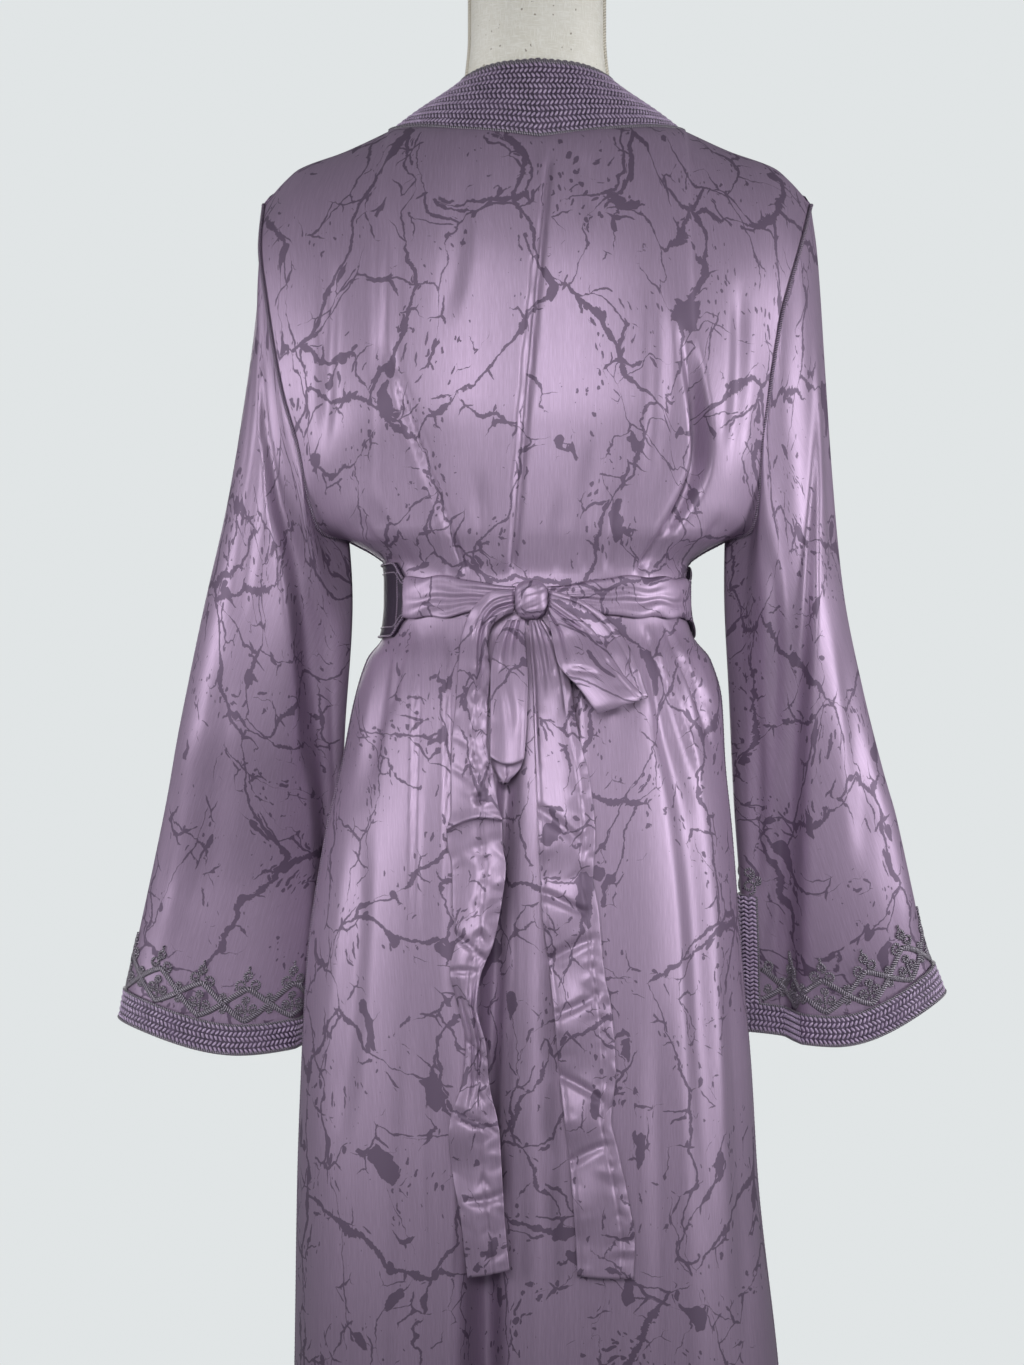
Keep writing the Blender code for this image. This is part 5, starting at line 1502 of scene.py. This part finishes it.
def makeTie(side):
    b = belt
    knotTurn = b["tieTurns"][side]
    end = b["ends"][0] - b["tieGap"] if side == "left" else b["ends"][1] + b["tieGap"]
    around = np.linspace(*sorted((knotTurn, end)), b["columns"][1])
    near = ease(1 - abs(around - knotTurn) / b["gather"])
    share = np.linspace(0, 1, b["rows"][1])[:, None]
    height = waist["low"] + share * (waist["high"] - waist["low"])
    height = waist["middle"] + (height - waist["middle"]) * (1 - b["narrowed"] * near)
    height = height + b["tieWave"] * np.sin(around * 31 + 2.0 * share) * (1 - near)
    away = abs(around - knotTurn) / abs(end - knotTurn)
    puff, ripple, gathered = b["puff"]
    full = puff + ripple * np.sin(share * 11 + around * 23) + gathered * near * np.sin(share * math.pi)
    for atKnot, atEnd, half, deep, runs in b["wrinkles"][side]:
        line = atKnot + (atEnd - atKnot) * away + 0.03 * np.sin(away * 9 + atKnot * 20)
        off = np.clip((share - line) / half, -1, 1)
        full = full - deep * ease((runs - away) / 0.5 + 0.15) * np.cos(off * math.pi / 2) ** 2
    out = 2 * cloth["rest"] + cloth["tube"] + b["lift"] + np.clip(full, 0, None)
    grid = wrapped(around, height, out - b["tieEdge"] * abs(2 * share - 1) ** 6)
    obj = clothPiece(f"{side}Tie", f"tie_{side}", grid, cutMap(grid, b["map"][side]), "tube", satin, "satin")


ribbons = {
    "tail_left": (  # outer edge x, height, inner edge x, height, lift from the skirt, outer edge's own lift
        (0.0207, 1.0680, 0.0207, 1.0490, 0.0105, 0.000),
        (0.0370, 1.0670, 0.0310, 1.0440, 0.0120, 0.002),
        (0.0510, 1.0570, 0.0390, 1.0360, 0.0120, 0.004),
        (0.0605, 1.0420, 0.0420, 1.0230, 0.010, 0.002),
        (0.0650, 1.0250, 0.0410, 1.0120, 0.008, 0.000),
        (0.0672, 1.0000, 0.0400, 0.9980, 0.007, -0.003),
        (0.0690, 0.9700, 0.0420, 0.9720, 0.009, -0.005),
        (0.0720, 0.9400, 0.0425, 0.9420, 0.010, -0.006),
        (0.0725, 0.9080, 0.0370, 0.9110, 0.010, -0.006),
        (0.0722, 0.8850, 0.0326, 0.8860, 0.0110, -0.003),
        (0.0752, 0.8704, 0.0302, 0.8780, 0.0130, 0.000),
        (0.0756, 0.8678, 0.0302, 0.8754, 0.0070, 0.000),
        (0.0750, 0.8560, 0.0300, 0.8600, 0.0050, 0.000),
        (0.0717, 0.8400, 0.0272, 0.8400, 0.005, -0.003),
        (0.0706, 0.8050, 0.0314, 0.8050, 0.009, 0.004),
        (0.0668, 0.7860, 0.0370, 0.7780, 0.010, 0.010),
        (0.0728, 0.7545, 0.0480, 0.7500, 0.014, 0.006),
        (0.0680, 0.7330, 0.0508, 0.7280, 0.012, -0.006),
        (0.0600, 0.6960, 0.0430, 0.6940, 0.009, -0.008),
        (0.0622, 0.6680, 0.0406, 0.6640, 0.006, -0.002),
        (0.0738, 0.6260, 0.0324, 0.6260, 0.008, 0.006),
        (0.0718, 0.5940, 0.0304, 0.5940, 0.004, -0.004),
        (0.0648, 0.5610, 0.0280, 0.5540, 0.007, 0.005),
        (0.0585, 0.5060, 0.0240, 0.5130, 0.004, 0.000),
    ),
    "tail_right": (
        (0.0080, 1.0422, -0.0040, 1.0422, 0.008, 0.000),
        (0.0070, 1.0200, -0.0180, 1.0200, 0.006, -0.002),
        (0.0050, 0.9900, -0.0260, 0.9900, 0.004, -0.002),
        (0.0040, 0.9500, -0.0320, 0.9500, 0.004, 0.000),
        (0.0024, 0.9100, -0.0420, 0.9100, 0.004, 0.000),
        (0.0005, 0.8640, -0.0462, 0.8640, 0.006, 0.000),
        (-0.0010, 0.8320, -0.0443, 0.8320, 0.003, -0.004),
        (-0.0025, 0.8040, -0.0490, 0.8040, 0.006, 0.002),
        (-0.0080, 0.7590, -0.0528, 0.7590, 0.004, -0.005),
        (-0.0130, 0.7130, -0.0606, 0.7130, 0.008, 0.003),
        (-0.0164, 0.6710, -0.0628, 0.6710, 0.004, -0.004),
        (-0.0205, 0.6350, -0.0590, 0.6350, 0.007, 0.003),
        (-0.0240, 0.6070, -0.0648, 0.6070, 0.004, -0.003),
        (-0.0275, 0.5670, -0.0736, 0.5670, 0.006, 0.002),
        (-0.0300, 0.5320, -0.0786, 0.5320, 0.004, 0.000),
        (-0.0310, 0.5080, -0.0775, 0.5040, 0.004, 0.000),
    ),
    "loop_left": (
        (0.0260, 1.0420, 0.0110, 1.0424, 0.014, 0.000),
        (0.0360, 1.0220, 0.0110, 1.0220, 0.015, 0.000),
        (0.0400, 0.9950, 0.0090, 0.9950, 0.014, -0.003),
        (0.0400, 0.9600, 0.0100, 0.9600, 0.014, -0.003),
        (0.0400, 0.9400, 0.0115, 0.9370, 0.015, -0.002),
        (0.0400, 0.9300, 0.0125, 0.9280, 0.016, -0.002),
        (0.0395, 0.9276, 0.0132, 0.9256, 0.008, 0.000),
        (0.0370, 0.9200, 0.0152, 0.9200, 0.007, 0.000),
        (0.0330, 0.9120, 0.0200, 0.9140, 0.008, 0.000),
        (0.0304, 0.9070, 0.0276, 0.9080, 0.006, 0.000),
        (0.0340, 0.9160, 0.0200, 0.9200, 0.003, 0.000),
        (0.0380, 0.9400, 0.0140, 0.9400, 0.003, 0.000),
        (0.0380, 0.9750, 0.0120, 0.9750, 0.003, 0.000),
        (0.0350, 1.0050, 0.0120, 1.0050, 0.003, 0.000),
        (0.0300, 1.0290, 0.0160, 1.0290, 0.004, 0.000),
    ),
    "loop_right": (
        (-0.0082, 1.0440, -0.0096, 1.0600, 0.0150, 0.000),
        (-0.0110, 1.0284, -0.0440, 1.0350, 0.021, 0.000),
        (-0.0156, 1.0062, -0.0580, 1.0150, 0.021, 0.000),
        (-0.0334, 0.9843, -0.0700, 0.9970, 0.020, 0.000),
        (-0.0445, 0.9690, -0.0850, 0.9810, 0.019, 0.000),
        (-0.0480, 0.9640, -0.0900, 0.9770, 0.015, 0.000),
        (-0.0450, 0.9720, -0.0860, 0.9880, 0.011, -0.010),
        (-0.0420, 0.9860, -0.0815, 1.0020, 0.011, -0.020),
        (-0.0360, 1.0030, -0.0740, 1.0200, 0.011, -0.020),
        (-0.0260, 1.0200, -0.0600, 1.0400, 0.011, -0.016),
        (-0.0180, 1.0380, -0.0350, 1.0580, 0.011, -0.006),
        (-0.0082, 1.0480, -0.0096, 1.0660, 0.010, 0.000),
    ),
    "creases": {  # share across, metres along at start, at end, bow, half width at start, end, depth, sharpness
        "tail_left": (
            (0.24, -0.02, 0.44, 0.060, 0.002, 0.0050, 0.0040, -0.0018, 0.3),
            (0.66, -0.03, 0.74, 0.110, -0.001, 0.0060, 0.0060, -0.0034, 0.4),
            (-0.1, 0.128, 0.60, 0.142, 0.002, 0.0060, 0.0040, -0.0014, 0.4),
            (-0.1, 0.152, 0.66, 0.174, 0.002, 0.0060, 0.0040, -0.0018, 0.4),
            (1.10, 0.150, 0.50, 0.196, -0.003, 0.0060, 0.0070, -0.0034, 0.5),
            (0.60, 0.200, 0.44, 0.290, 0.002, 0.0050, 0.0050, -0.0014, 0.3),
            (0.90, 0.310, 0.50, 0.430, 0.002, 0.0060, 0.0060, -0.0034, 0.5),
            (0.20, 0.330, 0.40, 0.460, 0.002, 0.0060, 0.0060, -0.0030, 0.5),
            (-0.5, 0.298, 1.30, 0.322, 0.003, 0.0060, 0.0050, -0.0040, 0.6),
            (-0.5, 0.336, 1.10, 0.326, 0.003, 0.0050, 0.0040, -0.0034, 0.5),
            (-0.4, 0.440, 1.00, 0.462, 0.003, 0.0070, 0.0050, -0.0036, 0.4),
            (0.00, 0.520, 1.40, 0.500, -0.003, 0.0050, 0.0070, -0.0036, 0.4),
            (-0.4, 0.385, 1.00, 0.402, 0.003, 0.0060, 0.0040, -0.0036, 0.4),
        ),
        "tail_right": (
            (0.22, -0.02, 0.30, 0.070, 0.001, 0.0040, 0.0060, -0.0014, 0.3),
            (0.64, -0.02, 0.50, 0.060, -0.001, 0.0040, 0.0060, -0.0016, 0.3),
            (-0.3, 0.150, 0.90, 0.196, 0.004, 0.0090, 0.0060, -0.0034, 0.2),
            (-0.3, 0.222, 0.95, 0.250, 0.003, 0.0080, 0.0050, -0.0040, 0.3),
            (-0.3, 0.292, 1.00, 0.262, 0.003, 0.0090, 0.0060, -0.0040, 0.2),
            (-0.3, 0.330, 0.90, 0.306, -0.003, 0.0080, 0.0050, -0.0036, 0.3),
            (-0.3, 0.372, 0.92, 0.402, 0.003, 0.0080, 0.0050, -0.0040, 0.3),
            (-0.3, 0.456, 1.00, 0.430, 0.003, 0.0080, 0.0060, -0.0034, 0.3),
        ),
        "loop_left": (
            (0.30, -0.03, 0.30, 0.050, 0.002, 0.0040, 0.0040, -0.0034, 0.4),
            (0.74, -0.03, 0.60, 0.040, -0.001, 0.0036, 0.0040, -0.0030, 0.4),
            (0.10, 0.030, 0.62, 0.100, 0.003, 0.0060, 0.0060, -0.0016, 0.2),
            (0.50, 0.120, 0.52, 0.150, 0.000, 0.0030, 0.0016, -0.0020, 0.4),
        ),
        "loop_right": (
            (0.24, -0.02, 0.16, 0.060, 0.002, 0.0040, 0.0050, -0.0034, 0.4),
            (0.56, -0.02, 0.80, 0.040, -0.002, 0.0040, 0.0050, -0.0034, 0.4),
            (0.00, 0.058, 0.60, 0.070, 0.002, 0.0060, 0.0050, -0.0020, 0.3),
            (0.50, 0.016, 1.00, 0.040, 0.002, 0.0050, 0.0050, -0.0020, 0.3),
        ),
    },
    "sag": {"tail_left": (0.205, 0.016, -0.0060), "loop_left": (0.114, 0.014, 0.0050)},  # at, reach, drop in the middle
    "seams": {"tail_left": (0.62,), "tail_right": (0.06, 0.78), "loop_left": (), "loop_right": (0.86,)},
    "columns": 36,
    "step": 0.0022,
    "crown": 0.0030,
    "rolled": 0.0006,
    "seamGroove": (0.0011, 0.0009),  # depth, half width
    "backFolds": 6,  # rows of the back's folds that the ribbons lie over
    "puckerShape": {"apart": (0.006, 0.017), "reach": (0.18, 0.5), "slant": 0.012, "long": 0.0036},
    "map": (7.3, 0.7, 0.37),  # first place across, then the steps across and up from one ribbon to the next
    "puckers": {"tail_left": (0.0008, 0.0020), "tail_right": (0.0006, 0.0016), "loop_left": (0.0005, 0.0005),
                "loop_right": (0.0005, 0.0008)},  # at the outer edge, at the inner edge
    "sizes": {  # cut width and length
        "tail_left": (0.038, 0.590),
        "tail_right": (0.046, 0.560),
        "loop_left": (0.027, 0.270),
        "loop_right": (0.046, 0.230),
    },
}


def ribbonGrid(name):
    # a pressed tube between its two edges: rows down the ribbon, turned so that they go up
    table = np.array(ribbons[name], float)
    middle = np.c_[(table[:, :2] + table[:, 2:4]) / 2, table[:, 4]]
    run = runLength(middle)
    at = np.linspace(0, run[-1], int(run[-1] / ribbons["step"]))
    rows = smooth(np.c_[run, table], at)
    share = np.linspace(0, 1, ribbons["columns"] + 1)
    x = rows[:, :1] + share * (rows[:, 2:3] - rows[:, :1])
    height = rows[:, 1:2] + share * (rows[:, 3:4] - rows[:, 1:2])
    width = np.hypot(rows[:, :1] - rows[:, 2:3], rows[:, 1:2] - rows[:, 3:4])
    ridge = np.clip(foldDepth(back["folds"][: ribbons["backFolds"]], x, height), 0, None) * underBelt(height)
    place, reach, amount = ribbons["sag"].get(name, (0, 1, 0))
    height = height - amount * np.sin(share * math.pi) * np.exp(-(((at[:, None] - place) / reach) ** 2))
    crown = ribbons["crown"] * np.sin(share * math.pi) - ribbons["rolled"] * abs(2 * share - 1) ** 8
    cutWidth = ribbons["sizes"][name][0]
    creases = [(a0 * cutWidth, b0, a1 * cutWidth, *more) for a0, b0, a1, *more in ribbons["creases"][name]]
    wrinkles = creaseDepth(creases, share[None] * cutWidth, at[:, None])
    random = np.random.default_rng(len(name) + int(run[-1] * 1000))
    puckers, shape = np.zeros_like(x), ribbons["puckerShape"]
    for edge in (0, 1, *ribbons["seams"][name]):
        spots = np.cumsum(random.uniform(*shape["apart"], 120))
        for spot in spots[spots < run[-1]]:
            reach = random.uniform(*shape["reach"])
            size = ribbons["puckers"][name][0 if edge < 0.5 else 1] * random.uniform(-1, 1)
            slant = random.uniform(-shape["slant"], shape["slant"])
            away = abs(share - edge)[None]
            near = np.exp(-(((at[:, None] - spot - slant * away / reach) / shape["long"]) ** 2))
            puckers = puckers + size * near * ease(1 - away / reach)
    deep, half = ribbons["seamGroove"]
    seams = sum(deep * np.exp(-(((share - line) * width / half) ** 2)) for line in ribbons["seams"][name])
    y = skirtDepth(x, height) + ridge + rows[:, 4:5] + 2 * cloth["tube"] + crown + wrinkles + puckers - seams
    y = y + rows[:, 5:6] * (0.5 - share)
    return np.stack([x, y, height], -1)[::-1, ::-1]


def makeRibbon(name, k):
    part, side = name.split("_")
    grid = ribbonGrid(name)
    first, stepAcross, stepUp = ribbons["map"]
    origin = (first + stepAcross * k, stepUp * k)
    obj = clothPiece(side + part.capitalize(), name, grid, cutMap(grid, origin), "tube", satin, "satin")


knotShape = {
    "centre": (0.006, 0.1160, 1.0590),
    "half": (0.0158, 0.0135, 0.0165),
    "round": 0.8,  # power on the ball's coordinates, below 1 squares it
    "waist": 0.10,
    "balls": (96, 56),
    "map": ((0.09, 0.05), (9.4, 0.6)),
    "gather": (0.35, 0.2, 1.2),  # how much closer the wraps lie at its left end, from which turn, over how much
    "wraps": (  # level, slope, bow, half width, depth
        (0.60, -0.30, 0.10, 0.12, 0.0007),
        (0.30, -0.42, 0.14, 0.06, 0.0005),
        (0.16, -0.30, 0.10, 0.11, 0.0009),
        (-0.22, -0.40, 0.08, 0.05, 0.0005),
        (-0.38, -0.34, 0.05, 0.10, 0.0008),
        (-0.72, -0.22, 0.00, 0.07, 0.0006),
    ),
}


def makeKnot():
    k = knotShape
    deselectAll()
    bpy.ops.mesh.primitive_uv_sphere_add(segments=k["balls"][0], ring_count=k["balls"][1], radius=1)
    obj = bpy.context.object
    co = np.zeros(len(obj.data.vertices) * 3)
    obj.data.vertices.foreach_get("co", co)
    co = co.reshape(-1, 3)
    squared = np.sign(co) * abs(co) ** k["round"]
    waistline = 1 - k["waist"] * (1 - co[:, 2:3] ** 2)
    points = squared * k["half"] * np.hstack([waistline, np.ones_like(waistline), np.ones_like(waistline)])
    # the wrap's wrinkles cross it slantwise and gather at its left end
    angle = np.arctan2(co[:, 0], co[:, 1])
    level = co[:, 2]
    closer, first, over = k["gather"]
    spread = 1 - closer * ease((angle - first) / over)
    sunk = 0
    for at, slope, bow, wide, deep in k["wraps"]:
        line = (at + slope * angle + bow * (1 - angle**2)) * spread
        sunk = sunk + deep * np.exp(-(((level - line) / wide) ** 2))
    sunk = sunk * ease((1 - abs(level)) / 0.25) * ease((1.9 - abs(angle)) / 0.5)
    points = points + k["centre"] - unit(co) * sunk[:, None]
    obj.data.vertices.foreach_set("co", points.ravel())
    layer = obj.data.uv_layers.active
    layer.name = "cut"
    maps = np.zeros(len(obj.data.loops) * 2)
    layer.data.foreach_get("uv", maps)
    scale, origin = k["map"]
    layer.data.foreach_set("uv", (maps.reshape(-1, 2) * scale + origin).ravel())
    obj.data.update()
    finished(obj, "knot", satin)
    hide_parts("knot")


makeBeltPanel()
makeKnot()
for side in bothSides:
    makeTie(side)
for k, name in enumerate(("tail_left", "tail_right", "loop_left", "loop_right")):
    makeRibbon(name, k)
print("belt and bow made")

# Dress form and stand

form = {
    "columns": 80,
    "rings": (  # height, left, right, back, front
        (0.790, 0.1480, 0.1480, 0.1100, 0.0980),
        (0.830, 0.1590, 0.1590, 0.1210, 0.1030),
        (0.880, 0.1640, 0.1640, 0.1250, 0.1050),
        (0.940, 0.1560, 0.1560, 0.1160, 0.1020),
        (0.990, 0.1400, 0.1400, 0.1050, 0.0990),
        (1.030, 0.1310, 0.1310, 0.1000, 0.0970),
        (1.0615, 0.1297, 0.1297, 0.1002, 0.0984),
        (1.090, 0.1280, 0.1280, 0.0940, 0.0940),
        (1.130, 0.1340, 0.1340, 0.0910, 0.0970),
        (1.180, 0.1470, 0.1470, 0.0920, 0.1080),
        (1.240, 0.1620, 0.1620, 0.0950, 0.1180),
        (1.310, 0.1760, 0.1760, 0.0960, 0.1060),
        (1.370, 0.1870, 0.1870, 0.0930, 0.0880),
        (1.410, 0.1880, 0.1880, 0.0850, 0.0740),
        (1.435, 0.1720, 0.1720, 0.0710, 0.0580),
        (1.450, 0.1400, 0.1400, 0.0570, 0.0470),
        (1.462, 0.1080, 0.1080, 0.0500, 0.0420),
        (1.474, 0.0820, 0.0820, 0.0500, 0.0450),
        (1.490, 0.0670, 0.0670, 0.0530, 0.0500),
        (1.520, 0.0620, 0.0620, 0.0560, 0.0530),
        (1.560, 0.0585, 0.0585, 0.0560, 0.0530),
        (1.612, 0.0585, 0.0585, 0.0560, 0.0530),
        (1.625, 0.0420, 0.0420, 0.0400, 0.0380),
    ),
    "rows": ((0.790, 1.60, 130), (1.60, 1.625, 14)),
    "seams": {"span": (1.500, 1.608, 60), "turn": 0.98, "lift": 0.0008, "radius": 0.0021, "pitch": 0.0056},
    "foot": (0.165, 0.012),
    "pole": 0.014,
    "gap": 0.0003,
    "sharp": 40,
}


def makeForm():
    low, top = form["rows"]
    heights = np.concatenate([np.linspace(*low), np.linspace(*top)[1:]])
    around = np.linspace(-2, 2, form["columns"] + 1)
    grid = ringPoints(form["rings"], around, heights[:, None])
    obj = gridObject("formTorso", grid, cutMap(grid), closed=True)
    bpy.ops.object.mode_set(mode="EDIT")
    bpy.ops.mesh.select_all(action="DESELECT")
    bpy.ops.mesh.select_non_manifold()
    bpy.ops.mesh.edge_face_add()
    bpy.ops.object.mode_set(mode="OBJECT")
    finished(obj, "formTorso", linen)
    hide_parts("form_torso")
    seam, cords = form["seams"], []
    level = np.linspace(*seam["span"])
    for sign in (1, -1):
        path = ringPoints(form["rings"], np.full(len(level), sign * seam["turn"]), level)
        path[:, 0] += sign * seam["lift"]
        up = np.tile((float(sign), 0.0, 0.0), (len(level), 1))
        cords.append(sweptCord(path, up, seam["radius"], pitch=seam["pitch"]))
    joinedPiece("formSeams", cords, cordCream)


def cylinder(vertices, radius, low, high):
    deselectAll()
    place = (0, 0, (low + high) / 2)
    bpy.ops.mesh.primitive_cylinder_add(vertices=vertices, radius=radius, depth=high - low, location=place)
    bpy.ops.object.transform_apply(location=True, rotation=True, scale=True)
    return bpy.context.object


def standPiece(name, nodeName, radius, low, high, vertices, bevel, segments):
    obj = cylinder(vertices, radius, low, high)
    applied(obj, "BEVEL", width=bevel, segments=segments, limit_method="ANGLE")
    finished(obj, name, standMetal)
    obj.data.set_sharp_from_angle(angle=math.radians(form["sharp"]))
    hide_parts(nodeName)


def makeStand():
    (radius, height), gap = form["foot"], form["gap"]
    standPiece("formFoot", "form_foot", radius, 0, height, 128, 0.003, 4)
    standPiece("formPole", "form_pole", form["pole"], height + gap, form["rings"][0][0] - gap, 64, 0.001, 2)


makeForm()
makeStand()
print("form made")

# Stage, light, camera

stage = {
    "floor": (0.86, 0.87, 0.87),
    "reach": 1.2,
    "thick": 0.02,
    "below": 0.0005,
    "wall": (0.752, 0.783, 0.790),  # the studio wall that the camera sees
    "glow": (0.160, 0.167, 0.171),  # and the light that it gives
    "camera": (0.0221, 2.0, 0.99),
    "lens": 59.6,
    "lights": (  # name, place, aim, width and height, power, spread
        ("key", (0.10, 2.5, 1.66), (-0.01, 0, 0.92), (2.0, 0.6), 4.4, 36),
        ("keyWide", (0.30, 3.0, 1.25), (0, 0, 1.18), (2.0, 0.8), 0.8, 42),
        ("leftFill", (2.6, 0.8, 1.15), (0, 0, 1.10), (1.0, 0.8), 2.4, 42),
        ("rightFill", (-2.6, 0.8, 1.15), (0, 0, 1.10), (1.0, 0.8), 3.6, 42),
        ("frontFill", (0.3, -3.2, 1.4), (0, 0, 1.0), (2.0, 1.6), 40, 180),
        ("floorFront", (0.0, -1.5, 2.2), (0, -1.5, 0), (2.2, 0.8), 2.6, 70),
        ("floorBack", (0.0, 1.6, 2.0), (0, 1.6, 0), (2.2, 0.6), 1.8, 60),
    ),
}


def makeStage():
    floor = cylinder(160, stage["reach"], -stage["below"] - stage["thick"], -stage["below"])
    floor.name = "floor"
    floor.data.materials.append(newMaterial("floorPaper", stage["floor"], 0.9, specular=0.1)[0])


def areaLight(name, place, aim, size, power, spread):
    data = bpy.data.lights.new(name, "AREA")
    data.shape = "RECTANGLE"
    data.size, data.size_y = size
    data.energy = power
    data.spread = math.radians(spread)
    obj = bpy.data.objects.new(name, data)
    bpy.context.scene.collection.objects.link(obj)
    direction = np.array(aim) - np.array(place)
    flat = math.hypot(direction[0], direction[1])
    obj.visible_camera = False
    obj.location = place
    obj.rotation_euler = (math.atan2(flat, -direction[2]), 0, math.atan2(-direction[0], direction[1]))


def makeLights():
    for light in stage["lights"]:
        areaLight(*light)
    world = bpy.context.scene.world or bpy.data.worlds.new("studio")
    bpy.context.scene.world = world
    world.use_nodes = True
    glow = world.node_tree.nodes["Background"]
    glow.inputs["Color"].default_value = (*stage["glow"], 1)
    glow.inputs["Strength"].default_value = 1.0
    wall = world.node_tree.nodes.new("ShaderNodeBackground")
    wall.inputs["Color"].default_value = (*stage["wall"], 1)
    seen = world.node_tree.nodes.new("ShaderNodeLightPath")
    mixed = world.node_tree.nodes.new("ShaderNodeMixShader")
    links = world.node_tree.links
    links.new(seen.outputs["Is Camera Ray"], mixed.inputs[0])
    links.new(glow.outputs[0], mixed.inputs[1])
    links.new(wall.outputs[0], mixed.inputs[2])
    links.new(mixed.outputs[0], world.node_tree.nodes["World Output"].inputs["Surface"])
    bpy.context.scene.view_settings.view_transform = "Standard"


def makeCamera():
    data = bpy.data.cameras.new("camera")
    data.lens = stage["lens"]
    data.sensor_width = 36
    data.dof.use_dof = False
    camera = bpy.data.objects.new("camera", data)
    bpy.context.scene.collection.objects.link(camera)
    camera.location = stage["camera"]
    camera.rotation_euler = (math.radians(90), 0, math.radians(180))
    bpy.context.scene.camera = camera


makeStage()
makeLights()
makeCamera()
print("stage made")
